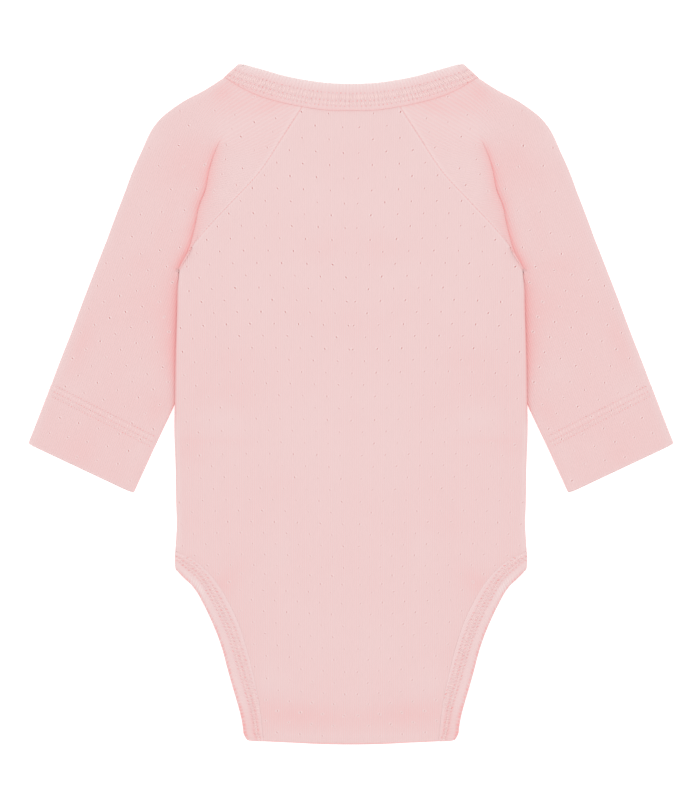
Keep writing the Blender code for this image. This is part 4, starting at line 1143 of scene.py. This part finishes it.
def sleeveLooks(rows, endSteps, u, v, hem, q):
    # relief in millimetres and tone of every point
    s = sleeve
    x, y = rows["crisp"][..., 0], rows["crisp"][..., 1]
    inset, past, onArm = rows["inset"], rows["past"], rows["onArm"][:, None]
    onRaglan, columns = 1.0 - onArm, np.arange(x.shape[1])
    alongSeam = rows["shares"][:, None] * backRaglan.length
    neckInset = mix(99.0, alongSeam, onRaglan)
    upper = (columns <= rows["roundColumn"] + 3)[None] * np.ones_like(x)
    fade = ramp(inset, 1.2) * ramp(neckInset, 1.0) * ramp(endSteps, 1.5)[:, None]
    needles = sum(bell(hem, 1.0, row, 0.5) for row in s["needleRows"])

    relief, tone = softMarks(sleeveMarks, x, y)
    relief, tone = relief * upper, tone * upper
    relief += 0.8 * unevenness(u, v, 21)
    relief += puckers(alongSeam, inset, *raglanGathers) * onRaglan
    relief += bell(inset, *s["raglanRidge"]) * onRaglan
    relief += puckers(x, neckInset, *s["neckGathers"])
    relief += onArm * (s["hemStep"] * ease((hem + 0.6) / 1.2) - s["needleDip"] * needles)
    relief += onArm * bell(hem, *s["cuffWaves"]) * wave(q, 5.3, 0.4 * np.sin(q / 3.1))
    relief *= fade
    underside = columns[None] > rows["roundColumn"] + 8
    relief = np.where(underside, np.minimum(relief, 0.0), relief)

    # painted shadow under the fold's lip, and painted shadow beside the body's edge, each with a
    # wide faint part
    alongFold = (ease((rows["shares"] - s["foldStart"]) / 0.12) * (1.0 - rows["onArm"]))[:, None]
    wider = (0.8 + 0.4 * ease((rows["shares"] - 0.3) / 0.5))[:, None]
    armSide = (columns >= rows["foldColumn"] + 5)[None]
    foldShade, foldReach = s["foldShade"]
    underLip = fading(past, foldShade, foldReach * wider) * (past > -0.5)
    shade = np.where(armSide, underLip + fading(abs(past), *s["foldWideShade"]),
                     fading(abs(past), *s["crestShade"])) * alongFold
    fromBody = x - sideX(np.clip(y, -80.0, 81.0))
    bodyShade, bodyReach = s["bodyShade"]
    strength = bodyShade * np.interp(y, *zip(*bodyShadeTable))
    besideBody = fading(fromBody, strength, bodyReach * mix(0.25, 1.0, ease((y - 4.0) / 32.0)))
    besideBody += ease((y - 2.0) / 20.0) * fading(fromBody, *s["bodyWideShade"])
    tone += np.maximum(shade, besideBody * upper * onArm)

    tone += s["upperShade"] * upper + s["cuffShade"] * onArm * ease((hem - 5.0) / 3.0)
    tone += lengthwiseTone(y) + fading(endSteps, *s["endLight"])[:, None]
    tone += bell(columns - rows["roundColumn"], *s["outlineLight"])[None]
    stitched = np.exp(-((hem - 2.6) / 4.0) ** 4)
    tone += s["needleShade"] * (needles + stitched) * onArm
    tone += fading(neckInset, *s["neckShade"])
    tone += onRaglan * (bell(inset, *s["raglanShade"]) + bell(inset, *s["raglanLight"]))
    return relief, tone, fromBody


def sleeveEyelets(rows, u, v, fromBody):
    # lattice places on both layers, but for those on the fold, the neck part and the edges
    x, y = rows["crisp"][..., 0], rows["crisp"][..., 1]
    acrossCloth, alongCloth = (u + 30.0), (v - 65.0) / 14.4
    driftI, driftJ = drift(sleeveDrift, acrossCloth / 50.0,
                           (np.clip(v, -95.0, 140.0) - 40.0) / 80.0)
    r, c = wholePlaces(acrossCloth / 12.5 + alongCloth + 2.495 + driftI,
                       -acrossCloth / 14.5 + alongCloth + 6.463 + driftJ,
                       (6, len(x) - 8), (7, x.shape[1] - 7))
    r, c = r[c > 7.5], c[c > 7.5]
    past, level = sample(rows["past"], r, c), sample(y, r, c)
    onArm, fold = (np.interp(r, np.arange(len(x)), rows[key]) for key in ("onArm", "fold"))
    atFold = (past > -1.5) & (past < 2.0) & (fold > 0.1)
    tucked = (onArm > 0.5) & (sample(fromBody, r, c) < 3.0) & (level > -14.0)
    besideNeck = (level > 136.0) | ((past < 0.0) & (onArm < 0.5))
    atOutline = abs(c - rows["roundColumn"] - 5.0) < 6.5
    keep = ~atFold & ~tucked & ~atOutline & ~(besideNeck & (c < rows["roundColumn"] + 2))
    return r[keep], c[keep]


def makeSleeve(name, node, rows, endSteps, side):
    # side is 1 for the wearer's right and -1 for the left
    base, flip = rows["base"], np.array((float(side), 1.0, 1.0))
    u, v = sleeveGrain(rows)
    al, q = armPlace(base[..., :2])
    relief, tone, fromBody = sleeveLooks(rows, endSteps, u, v, al - hemLine(q), q)
    hemStation = 1.0 - garment["hemDepth"] / garment["armLength"]
    onHem = rows["onArm"] * ease((rows["shares"] - hemStation) / 0.006)
    walls = mix(wall, garment["hemWall"], onHem[:, None]) * np.ones_like(q)
    start = np.full(len(base), farOff)
    start[:edgeColumns] = cutSteps[:edgeColumns]
    drop = panelDrop(rows["inset"], rows["turned"], walls)
    drop = np.maximum(drop, edgeDrop(start[:, None], walls, garment["edgeRounding"]))
    drop = np.maximum(drop, edgeDrop(endSteps[:, None], walls, sleeve["hemRounding"]))
    piece, surface = clothWall(name, base * flip, walls, drop, relief, float(side),
                               np.stack((u * side, v), axis=-1), tone, knitMaterial,
                               crisp=rows["crisp"] * flip)
    r, c = sleeveEyelets(rows, u, v, fromBody)
    raglanRows = int((rows["onArm"] < 0.5).sum())
    spots = np.array(neckEyelets)
    neckR, neckC = locate(surface, spots[:, :2] * flip[:2], (7, rows["roundColumn"]),
                          (6, raglanRows))
    surface.update(eyelets=(np.concatenate((r, neckR)), np.concatenate((c, neckC))),
                   eyeletShares=np.concatenate((np.ones(len(r)), spots[:, 2])),
                   lowShare=sleeve["lowEyelets"], roundColumn=rows["roundColumn"],
                   raglanRows=raglanRows)
    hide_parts(node)
    return piece, surface


sleeveGrid, sleeveEnds = makeSleeveGrid()
rightSleeve, rightSurface = makeSleeve("rightSleeveKnit", "right_sleeve", sleeveGrid,
                                       sleeveEnds, 1)
leftSleeve, leftSurface = makeSleeve("leftSleeveKnit", "left_sleeve", sleeveGrid,
                                     sleeveEnds, -1)
print("sleeves made:", len(rightSleeve.data.polygons), "faces each")

# Folded rib strips: the neckband and the leg bindings. Each path is a list of
# stretches, and a stretch is the seam's points and the outer edge's points.


def foldStretch(start, end, facing, top, under, upwards=False, steps=24):
    share = np.arange(1, steps) / steps
    seam, bulge = roundOver(start[0], end[0], facing, top, under, share)
    edge, _ = roundOver(start[1], end[1], facing, top, under, share)
    return [line[::-1] if upwards else line for line in (seam, edge, bulge)]


def flatStretch(seam, edge, level):
    level = np.zeros(len(seam)) + level
    return [np.concatenate((seam, level[:, None]), axis=-1),
            np.concatenate((edge, level[:, None]), axis=-1), np.zeros((len(seam), 2))]


def stripGrid(stretches, strip):
    # rows at an even spacing along the strip, columns from the seam to the folded edge
    seam, edge, bulge = (np.concatenate([stretch[k] for stretch in stretches]) for k in range(3))
    along = lengthsAlong(mix(seam, edge, 0.5))
    even = np.linspace(0.0, along[-1], int(round(along[-1] / strip["spacing"])) + 1)
    seam, edge, bulge = (resampled(line, along, even) for line in (seam, edge, bulge))
    gap = garment["seamGap"]
    width = (np.linalg.norm(edge - seam, axis=1) - gap)[:, None]
    seam = seam + gap * unit(edge - seam)
    fromEdge = foldInsets * strip["foldScale"]
    inner = np.arange(1, strip["columns"]) / strip["columns"]
    middle = mix(0.7, width - fromEdge[0], inner[None])
    across = np.concatenate((np.zeros((len(even), edgeColumns)) + cutSteps[:edgeColumns], middle,
                             width - fromEdge), axis=1)
    face = mix(seam[:, None], edge[:, None], (across / width)[..., None])
    fromFold = width - across
    short = 1.0 - ramp(fromFold, strip["cornerRounding"])
    face[..., :2] -= bulge[:, None] * (1.0 - np.sqrt(1.0 - short ** 2))[..., None]
    return {"face": face, "even": even, "across": across, "fromFold": fromFold}


foldInsets = np.array((1.15, 0.85, 0.6, 0.38, 0.2, 0.07, 0.0))     # in from a strip's fold
neckband = {
    "wall": garment["bandWall"], "spacing": 0.42, "columns": 13, "cornerRounding": 1.2,
    "foldScale": 1.0, "rib": 2.15, "ribHeight": 0.13, "needleRows": (5.8, 10.5, 13.7),
    "seamShade": (0.45, 0.7), "foldLight": (-1.0, 2.4), "rowShade": (0.10, 5.0, 0.9),
    "stitchPitch": 2.45, "slant": 0.35, "threadTone": 0.8,
    "holeSize": (0.46, 0.42, 0.09), "holeLean": (0.3, 0.0), "holeTone": 0.62,
}
legBinding = {
    "wall": garment["bindingWall"], "spacing": 0.5, "columns": 11, "cornerRounding": 4.5,
    "foldScale": 0.9 / 1.1, "rib": 1.7, "ribHeight": 0.05, "needleRows": (6.5, 9.1, 12.5),
    "edgeLight": (-0.30, 0.4), "seamLight": (-0.16, 1.1, 1.0), "rimShade": (1.1, 0.85),
    "gatherPlace": (109.5, 7.0, 3.4, 2.2), "tabEnd": (10.2, 1.4), "flapStart": -197.0,
    "stitchPitch": 2.25, "slant": 0.6, "threadTone": 0.5,
    "holeSize": (0.92, 0.36, 0.09), "holeLean": (0.55, 0.35), "holeTone": 0.46,
}


def bandLooks(grid, ribs, needles):
    # tone of the neckband: painted light at the fold, painted shade between the ribs there, in
    # the needle rows and beside the seam
    s = neckband
    x, y, fromFold = abs(grid["face"][..., 0]), grid["face"][..., 1], grid["fromFold"]
    tone = 0.05 * needles - 0.03 + 0.10 * ease((x - 22.0) / 30.0)
    tone += fading(grid["across"], *s["seamShade"]) + fading(fromFold, *s["foldLight"])
    tone += bell(x, -0.2, 61.0, 7.0) * bell(y, 1.0, 201.0, 5.0)
    tone += bell(fromFold, *s["rowShade"]) - 0.25 * ribs * np.exp(-(fromFold / 4.5) ** 4)
    return tone, 0.0


def bindingLooks(grid, ribs, needles):
    # tone of a binding, with painted shade in the needle rows and in the rim's notches, the
    # gathers paler with painted light on their ridges, and the height of its gathers where the
    # leg curves most
    s = legBinding
    along, across, fromFold = grid["even"][:, None], grid["across"], grid["fromFold"]
    y = grid["face"][..., 1]
    notches = 0.62 + 0.32 * wave(along, 2.3, np.sin(along / 3.0))
    notches += 0.15 * wave(along, 5.9) + 0.1 * np.sin(along / 2.1)
    tone = 0.04 + 0.05 * needles - 0.03 * ribs - 0.16 * (1.0 - ease((fromFold - 4.6) / 1.6))
    tone += bell(across, *s["seamLight"]) + fading(across, *s["edgeLight"])
    tone += 0.20 * ease((-174.0 - y) / 16.0) + bell(y, -0.10, -124.0, 9.0)
    tone += bell(fromFold, notches, *s["rimShade"])
    gatherY, gatherLength, gatherIn, gatherWidth = s["gatherPlace"]
    gather = bell(y, 1.0, -gatherY, gatherLength) * bell(fromFold, 1.0, gatherIn, gatherWidth)
    strokes = wave(along, 1.9)
    return tone - gather * (0.55 + 0.42 * strokes), 0.12 * gather * strokes


def makeStrip(name, node, strip, grid, looks, facing=1.0, ring=False):
    face, even, across, fromFold = (grid[key] for key in ("face", "even", "across", "fromFold"))
    walls = np.full(across.shape, strip["wall"])
    drop = np.maximum(edgeDrop(across, walls, 0.2),
                      edgeDrop(fromFold, walls, strip["wall"] / 2.0))
    ribs = np.cos(2.0 * np.pi * even / strip["rib"])[:, None]
    needles = sum(bell(fromFold, 1.0, row, 0.55) for row in strip["needleRows"])
    height = strip["ribHeight"]
    relief = height * ribs * ramp(across, 1.5) - 0.2 * height * (1.0 - np.exp(-fromFold / 6.0))
    relief += bell(across, 0.10, 0.9, 0.7) - 0.08 * needles
    relief += 0.05 * wave(even, 17.3, 1.0)[:, None] + 0.04 * wave(even, 7.9)[:, None]
    tone, gathers = looks(grid, ribs, needles)
    relief = relief * ramp(across, 0.4) + gathers
    if not ring:
        ends = np.minimum(even, even[-1] - even)
        drop = np.maximum(drop, edgeDrop(ends[:, None], walls, 0.3))
        relief *= ramp(ends, 1.5)[:, None]
    under = face[..., 2] < 0.02
    relief = np.where(under, np.minimum(relief - height, 0.0) * ramp(fromFold, 2.0), relief)
    place = np.stack((even[:, None] + 0.0 * across, across), axis=-1)
    piece, surface = clothWall(name, face, walls, drop, relief, facing, place, tone, trimMaterial,
                               ring=ring)
    surface.update(even=even, fromFold=fromFold)
    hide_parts(node)
    return piece, surface


dense = np.linspace(0.0, 1.0, 300)
backLevels = bandLevel(backNeckTop(dense)[:, 0])
bandHalf = [flatStretch(backNeckSeam(dense), backNeckTop(dense), backLevels),
            foldStretch((backNeckSeam(1.0), backNeckTop(1.0)),
                        (frontNeckSeam(1.0), frontNeckTop(1.0)),
                        shoulderFacing, backNeckTopTable[-1][2], 0.0),
            flatStretch(frontNeckSeam(dense[::-1]), frontNeckTop(dense[::-1]), 0.0)]
bandWhole = bandHalf + [[line[::-1] * flipX[:line.shape[1]] for line in stretch]
                        for stretch in bandHalf[::-1]]
# the mirrored half starts where the first half ends
bandWhole[3] = [line[1:] for line in bandWhole[3]]
bandPiece, bandSurface = makeStrip("neckbandRib", "neckband", neckband,
                                   stripGrid(bandWhole, neckband), bandLooks, ring=True)
print("neckband made:", len(bandPiece.data.polygons), "faces, length",
      round(bandSurface["even"][-1], 1))

tabHalf = garment["foldHalfWidth"] - garment["frontLegInset"]
tabSeam = np.array((tabHalf, bottomLine(garment["tab"], tabHalf)))
downLeg = dense[::-1]
frontInset = garment["frontLegInset"] * ease(4.0 * downLeg)
sideTop = float(bodyTop(legSeamTable[0][1], 0.0)) + garment["stripRaised"]
crotchTop = float(bodyTop(garment["fold"][0], 0.0)) + garment["stripRaised"]
legTops = bodyTop(legSeam(dense)[:, 1], 0.0) + garment["stripRaised"]
creaseSeam, creaseEdge = legSeam(1.0), legEdge(1.0)
creaseAlong = unit(creaseEdge - creaseSeam)
flapY = np.linspace(legBinding["flapStart"], garment["flapEnd"], 40)
bindingPath = [
    flatStretch(tabSeam[None], (tabSeam + np.array(legBinding["tabEnd"]))[None], 0.0),
    flatStretch(beside(legSeam, downLeg, frontInset), beside(legEdge, downLeg, frontInset), 0.0),
    foldStretch((legSeam(0.0), legEdge(0.0)), (legSeam(0.0), legEdge(0.0)), sideFacing, sideTop,
                0.0, upwards=True),
    flatStretch(legSeam(dense), legEdge(dense), legTops),
    foldStretch((creaseSeam, creaseEdge), (creaseSeam, creaseEdge),
                (creaseAlong[1], -creaseAlong[0]), crotchTop, garment["stripUnder"]),
    flatStretch(np.stack((np.full(len(flapY), garment["foldHalfWidth"]), flapY), axis=-1),
                np.stack((np.full(len(flapY), garment["flapEdge"]), flapY), axis=-1),
                garment["stripUnder"]),
]
bindingGrid = stripGrid(bindingPath, legBinding)
legStrips = {}
for sideName, side in (("right", 1.0), ("left", -1.0)):
    grid = {**bindingGrid, "face": bindingGrid["face"] * np.array((side, 1.0, 1.0))}
    legStrips[sideName] = makeStrip(sideName + "LegBindingRib", sideName + "_leg_binding",
                                    legBinding, grid, bindingLooks, side)
print("leg bindings made:", len(legStrips["right"][0].data.polygons), "faces each, length",
      round(bindingGrid["even"][-1], 1))

# Threads, needle holes and eyelets: small shapes repeated over the cloth.


def smallShape(build):
    # a template's mesh and the tone of each of its vertices
    bm = bmesh.new()
    tones = build(bm)
    mesh = bpy.data.meshes.new("template")
    bm.to_mesh(mesh)
    bm.free()
    return mesh, np.array(tones, dtype=float)


def buildThread(bm):
    bmesh.ops.create_uvsphere(bm, u_segments=6, v_segments=4, radius=1.0)
    bmesh.ops.rotate(bm, verts=bm.verts, matrix=Matrix.Rotation(math.pi / 2.0, 3, "Y"))
    return [-1.0 + 0.75 * abs(vert.co.x) for vert in bm.verts]


def buildEyelet(bm):
    # a narrow hole, shown as a dark disc of painted shade, with a raised loop at either side
    # painted lighter as a highlight
    ring = bmesh.ops.create_circle(bm, segments=8, radius=1.0)["verts"]
    edges = bm.edges[:]
    # the bottom's deep tone is painted shade and the raised loops' pale tone a painted highlight
    rings = ((1.0, 1.35, -0.4, 0.0), (0.74, 1.05, 0.9, -0.8), (0.66, 0.42, 0.6, -0.2),
             (0.54, 0.26, 0.1, 0.8))      # half length, half width, height and tone
    lastLength, lastWidth = 1.0, 1.0
    for index, (length, width, level, _) in enumerate(rings):
        if index:
            grown = bmesh.ops.extrude_edge_only(bm, edges=edges)["geom"]
            ring = [part for part in grown if isinstance(part, bmesh.types.BMVert)]
            edges = [part for part in grown if isinstance(part, bmesh.types.BMEdge)]
        for vert in ring:
            vert.co = (vert.co.x * length / lastLength, vert.co.y * width / lastWidth, level)
        lastLength, lastWidth = length, width
    bmesh.ops.contextual_create(bm, geom=edges)
    bmesh.ops.recalc_face_normals(bm, faces=bm.faces)
    tones = []
    for vert in bm.verts:
        nearest = min(rings, key=lambda ring: abs(vert.co.z - ring[2]) + abs(
            (vert.co.x / ring[0]) ** 2 + (vert.co.y / ring[1]) ** 2 - 1.0))
        sideways = (vert.co.y / nearest[1]) ** 2
        tones.append(nearest[3] * (sideways if nearest[3] < 0.0 else 1.0))
    return tones


# a needle hole: a flat dot painted dark, as the shade in the needle's dimple
def buildNeedleHole(bm):
    bmesh.ops.create_uvsphere(bm, u_segments=6, v_segments=3, radius=1.0)
    return [1.0] * len(bm.verts)


def repeatShape(name, template, centres, along, normals, sizes, strengths, material):
    mesh, tones = template
    bm = bmesh.new()
    for _ in range(len(centres)):
        bm.from_mesh(mesh)
    whole = bpy.data.meshes.new(name)
    bm.to_mesh(whole)
    bm.free()
    shape = np.empty(3 * len(mesh.vertices))
    mesh.vertices.foreach_get("co", shape)
    shape = shape.reshape(-1, 3)
    normals = unit(normals)
    along = unit(along - np.einsum("ij,ij->i", along, normals)[:, None] * normals)
    side = np.cross(normals, along)
    parts = shape[None] * sizes[:, None]
    places = (centres[:, None] + parts[..., :1] * along[:, None] + parts[..., 1:2] * side[:, None]
              + parts[..., 2:] * normals[:, None])
    whole.vertices.foreach_set("co", (places * mm).astype(np.float32).ravel())
    whole.attributes.new("tone", "FLOAT", "POINT").data.foreach_set(
        "value", (tones[None] * strengths[:, None]).astype(np.float32).ravel())
    whole.shade_smooth()
    return addPiece(name, whole, material)


threadShape, eyeletShape, holeShape = map(smallShape, (buildThread, buildEyelet, buildNeedleHole))
stitching = {
    "threadWidth": 0.30, "threadHeight": 0.18,
    "eyeletSize": (1.05, 1.0, 0.12), "eyeletLean": (66.0, 14.0), "eyeletStrength": (0.90, 0.24),
    "lowEyelets": 0.56, "seamPitch": 2.0, "seamStitch": 0.9, "seamHole": (0.50, 0.26, 0.06),
    "seamTone": 0.55, "seed": 7,
}
chance = np.random.default_rng(stitching["seed"])


def makeEyelets(name, surface):
    s = stitching
    r, c = surface["eyelets"]
    centres, normals = sample(surface["outer"], r, c), sample(surface["normal"], r, c)
    count = len(r)
    meanLean, leanSpread = s["eyeletLean"]
    lean = np.radians(meanLean + chance.normal(0.0, leanSpread, count))
    onRight = np.where(centres[:, 0] > 0.0, 1.0, -1.0)
    along = np.stack((np.cos(lean) * onRight, np.sin(lean), 0.0 * lean), axis=-1)
    sizes = np.array(s["eyeletSize"]) * chance.uniform(0.85, 1.1, (count, 1))
    strengths = np.clip(chance.normal(*s["eyeletStrength"], count), 0.3, 1.5)
    strengths *= surface.get("eyeletShares", 1.0)
    lowShare = surface.get("lowShare", s["lowEyelets"])      # weaker towards the legs
    strengths *= mix(lowShare, 1.0, ease((centres[:, 1] + 10.0) / 60.0))
    return repeatShape(name, eyeletShape, centres, along, normals, sizes, strengths,
                       eyeletMaterial)


def between(surface, r0, c0, r1, c1, lift):
    # from one place on a surface to another: centre, direction and normal
    first, last = sample(surface["outer"], r0, c0), sample(surface["outer"], r1, c1)
    normals = unit(sample(surface["normal"], (r0 + r1) / 2.0, (c0 + c1) / 2.0))
    return (first + last) / 2.0 + lift * normals, last - first, normals


def makeStitches(name, threads, holes, holeSize, holeTone, threadTone=0.0):
    s, pieces = stitching, []
    if threads:
        centres, along, normals = (np.concatenate(part) for part in zip(*threads))
        length = np.linalg.norm(along, axis=1) / 2.0
        count = len(centres)
        sizes = np.stack((length * 1.05, np.full(count, s["threadWidth"]),
                          np.full(count, s["threadHeight"])), axis=-1)
        sizes[:, 1:] *= chance.uniform(0.8, 1.15, (count, 1))
        strengths = np.clip(chance.normal(threadTone, 0.2, count), 0.1, 1.2)
        pieces.append(repeatShape(name + "Threads", threadShape, centres, along, normals, sizes,
                                  strengths, threadAndHoleShadeMaterial))
    # the needle holes' dots are painted dark as shade
    if holes:
        centres, along, normals = (np.concatenate(part) for part in zip(*holes))
        count = len(centres)
        sizes = np.array(holeSize) * chance.uniform(0.75, 1.15, (count, 1))
        strengths = np.clip(chance.normal(holeTone, 0.18, count), 0.15, 1.1)
        pieces.append(repeatShape(name + "NeedleHoles", holeShape, centres, along, normals, sizes,
                                  strengths, threadAndHoleShadeMaterial))
    return pieces


def stripStitches(name, surface, strip):
    # needle rows, as dots of painted shade, joined by cover threads, all along a strip
    even, fromFold = surface["even"], surface["fromFold"]
    spacing, pitch, needleRows = even[1] - even[0], strip["stitchPitch"], strip["needleRows"]
    run, lean = strip["holeLean"]
    threads, holes = [], []
    count = int(round(even[-1] / pitch))
    places = (np.arange(count) + 0.5) * even[-1] / count + chance.normal(0.0, 0.07, count)

    def columnAt(rowPlaces, depth):
        nearest = np.clip(rowPlaces.round().astype(int), 0, len(even) - 1)
        columns = np.arange(fromFold.shape[1])
        return np.array([np.interp(-depth, -fromFold[row], columns) for row in nearest])

    for k, depth in enumerate(needleRows):
        rows = places / spacing
        holes.append(between(surface, rows - run / spacing, columnAt(rows, depth - lean),
                             rows + run / spacing, columnAt(rows, depth + lean), 0.03))
        if not k:
            continue
        for part in (0.25, 0.75):
            start = (places + pitch * part) / spacing
            stop = (places + pitch * part + strip["slant"] * pitch) / spacing
            stop = np.clip(stop, 0.0, len(even) - 1.0)
            threads.append(between(surface, start, columnAt(start, needleRows[k - 1] + 0.5), stop,
                                   columnAt(stop, depth - 0.5), 0.10))
    return makeStitches(name, threads, holes, strip["holeSize"], strip["holeTone"],
                        strip["threadTone"])


bandStitches = stripStitches("neckband", bandSurface, neckband)
legStitches = {}
for sideName in ("right", "left"):
    legStitches[sideName] = stripStitches(sideName + "Leg", legStrips[sideName][1], legBinding)
print("strips stitched")


def cuffStitches(name, surface, side):
    # three needle rows round the hem, as dots of painted shade, with parallel bars between them
    threads, holes = [], []
    middle = surface["roundColumn"] + sleeve["roundColumns"] // 2
    rowCount, columnCount = surface["outer"].shape[:2]
    q = np.arange(*sleeve["stitchSpan"], sleeve["stitchPitch"])
    for layer in ((7, surface["roundColumn"] + 2), (middle + 4, columnCount - 7)):

        def spots(across, depth):
            al = hemLine(across) + depth
            points = armOrigin + al[:, None] * armAlong + across[:, None] * armAcross
            return locate(surface, points * np.array((float(side), 1.0)), layer,
                          (surface["raglanRows"] + 20, rowCount - 8))

        for k, depth in enumerate(sleeve["needleRows"]):
            holes.append(between(surface, *spots(q, depth), *spots(q + 0.35, depth + 0.25), 0.02))
            if k:
                above = sleeve["needleRows"][k - 1]
                threads.append(between(surface, *spots(q + 0.9, above + 0.5),
                                       *spots(q + 0.7, depth - 0.5), 0.06))
    return makeStitches(name, threads, holes, sleeve["holeSize"], sleeve["holeTone"],
                        sleeve["threadTone"])


rightCuff = cuffStitches("rightCuff", rightSurface, 1)
leftCuff = cuffStitches("leftCuff", leftSurface, -1)


def seamStitches(name, surface, last, columns):
    # small stitches sunk into both raglan seams of a panel, as dots of painted shade
    s, sunk = stitching, []
    for column in columns:
        lengths = lengthsAlong(surface["outer"][:last, column])
        places = np.arange(1.2, lengths[-1] - 1.0, s["seamPitch"])
        rows = np.interp(places, lengths, np.arange(last))
        rowsAfter = np.interp(places + s["seamStitch"], lengths, np.arange(last))
        same = np.full(len(places), float(column))
        sunk.append(between(surface, rows, same, rowsAfter, same, 0.02))
    return makeStitches(name, [], sunk, s["seamHole"], s["seamTone"])


lastColumn = backSurface["outer"].shape[1] - 3
backSeams = seamStitches("backRaglan", backSurface, raglanRowCount, (2, lastColumn))
frontSeams = seamStitches("frontRaglan", frontSurface, raglanRowCount, (2, lastColumn))
eyelets = {name: makeEyelets(name + "Eyelets", surface) for name, surface in (
    ("back", backSurface), ("front", frontSurface), ("rightSleeve", rightSurface),
    ("leftSleeve", leftSurface))}
eyeletFaces = len(eyeletShape[0].polygons)
print("eyelets:", {name: len(piece.data.polygons) // eyeletFaces
                   for name, piece in eyelets.items()})

# Cloth cut sizes, in metres: what shows, all round on the sleeves.
bandLength = float(bandSurface["even"][-1]) * mm
bindingLength = float(bindingGrid["even"][-1]) * mm
cuts = [
    (backPiece, (0.212, 0.425), backSurface, ["front_panel"], backSeams + [eyelets["back"]]),
    (frontPiece, (0.212, 0.370), frontSurface, [], frontSeams + [eyelets["front"]]),
    (rightSleeve, (0.190, 0.275), rightSurface, [], rightCuff + [eyelets["rightSleeve"]]),
    (leftSleeve, (0.190, 0.275), leftSurface, [], leftCuff + [eyelets["leftSleeve"]]),
    (bandPiece, (0.0160, bandLength), bandSurface, ["back_panel"], bandStitches),
    (legStrips["right"][0], (0.0142, bindingLength), legStrips["right"][1], ["front_panel"],
     legStitches["right"]),
    (legStrips["left"][0], (0.0142, bindingLength), legStrips["left"][1], ["front_panel"],
     legStitches["left"]),
]
for piece, flat, surface, under, extras in cuts:
    share = surface["area"] / (flat[0] * flat[1])
    print("cut", piece.name, flat, "area", round(surface["area"], 5), "share", round(share, 3))

snapPlastic = snapMaterial()
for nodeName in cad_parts:
    if nodeName.startswith("snap_"):
        snapObject = bpy.data.objects[nodeName]
        for slotHere in snapObject.material_slots:
            slotHere.material = snapPlastic

# Floor, light and camera.
studio = {"floor": (0.93, 0.93, 0.93), "floorGlow": 0.45, "world": 0.84, "lampPower": 4.66,
          "lampPlace": (0.0, 0.1, 1.5), "floorDrop": 0.00025,    # clear of the threads
          "cameraHeight": 3.0, "cameraCentre": (-0.0006, 0.0069), "viewHeight": 0.471}
bm = bmesh.new()
bmesh.ops.create_grid(bm, x_segments=1, y_segments=1, size=3.0)
bmesh.ops.translate(bm, verts=bm.verts, vec=(0.0, 0.0, -studio["floorDrop"]))
floorMesh = bpy.data.meshes.new("floor")
bm.to_mesh(floorMesh)
bm.free()
floor = bpy.data.objects.new("floor", floorMesh)
bpy.context.scene.collection.objects.link(floor)
floorPaint, _, floorShader = newMaterial("pale floor")
floorShader.inputs["Base Color"].default_value = (*studio["floor"], 1.0)
floorShader.inputs["Roughness"].default_value = 0.9
floorShader.inputs["Specular IOR Level"].default_value = 0.0
floorShader.inputs["Emission Color"].default_value = (1.0, 1.0, 1.0, 1.0)
floorShader.inputs["Emission Strength"].default_value = studio["floorGlow"]
floorMesh.materials.append(floorPaint)

world = bpy.data.worlds.new("studio")
world.use_nodes = True
world.node_tree.nodes["Background"].inputs["Color"].default_value = (1.0, 1.0, 1.0, 1.0)
world.node_tree.nodes["Background"].inputs["Strength"].default_value = studio["world"]
bpy.context.scene.world = world
lamp = bpy.data.lights.new("softbox", "AREA")
lamp.shape, lamp.size, lamp.energy = "DISK", 1.2, studio["lampPower"]
lampObject = bpy.data.objects.new("softbox", lamp)
lampObject.location = studio["lampPlace"]
lampObject.rotation_euler = (-math.atan2(*studio["lampPlace"][1:]), 0.0, 0.0)
bpy.context.scene.collection.objects.link(lampObject)

lens = bpy.data.cameras.new("camera")
lens.sensor_fit, lens.sensor_height = "VERTICAL", 36.0
lens.lens = 36.0 * studio["cameraHeight"] / studio["viewHeight"]
lens.clip_start, lens.clip_end = 0.05, 20.0
camera = bpy.data.objects.new("camera", lens)
camera.location = (*studio["cameraCentre"], studio["cameraHeight"])
bpy.context.scene.collection.objects.link(camera)
bpy.context.scene.camera = camera
bpy.context.scene.view_settings.view_transform = "Standard"
print("floor, light and camera set")
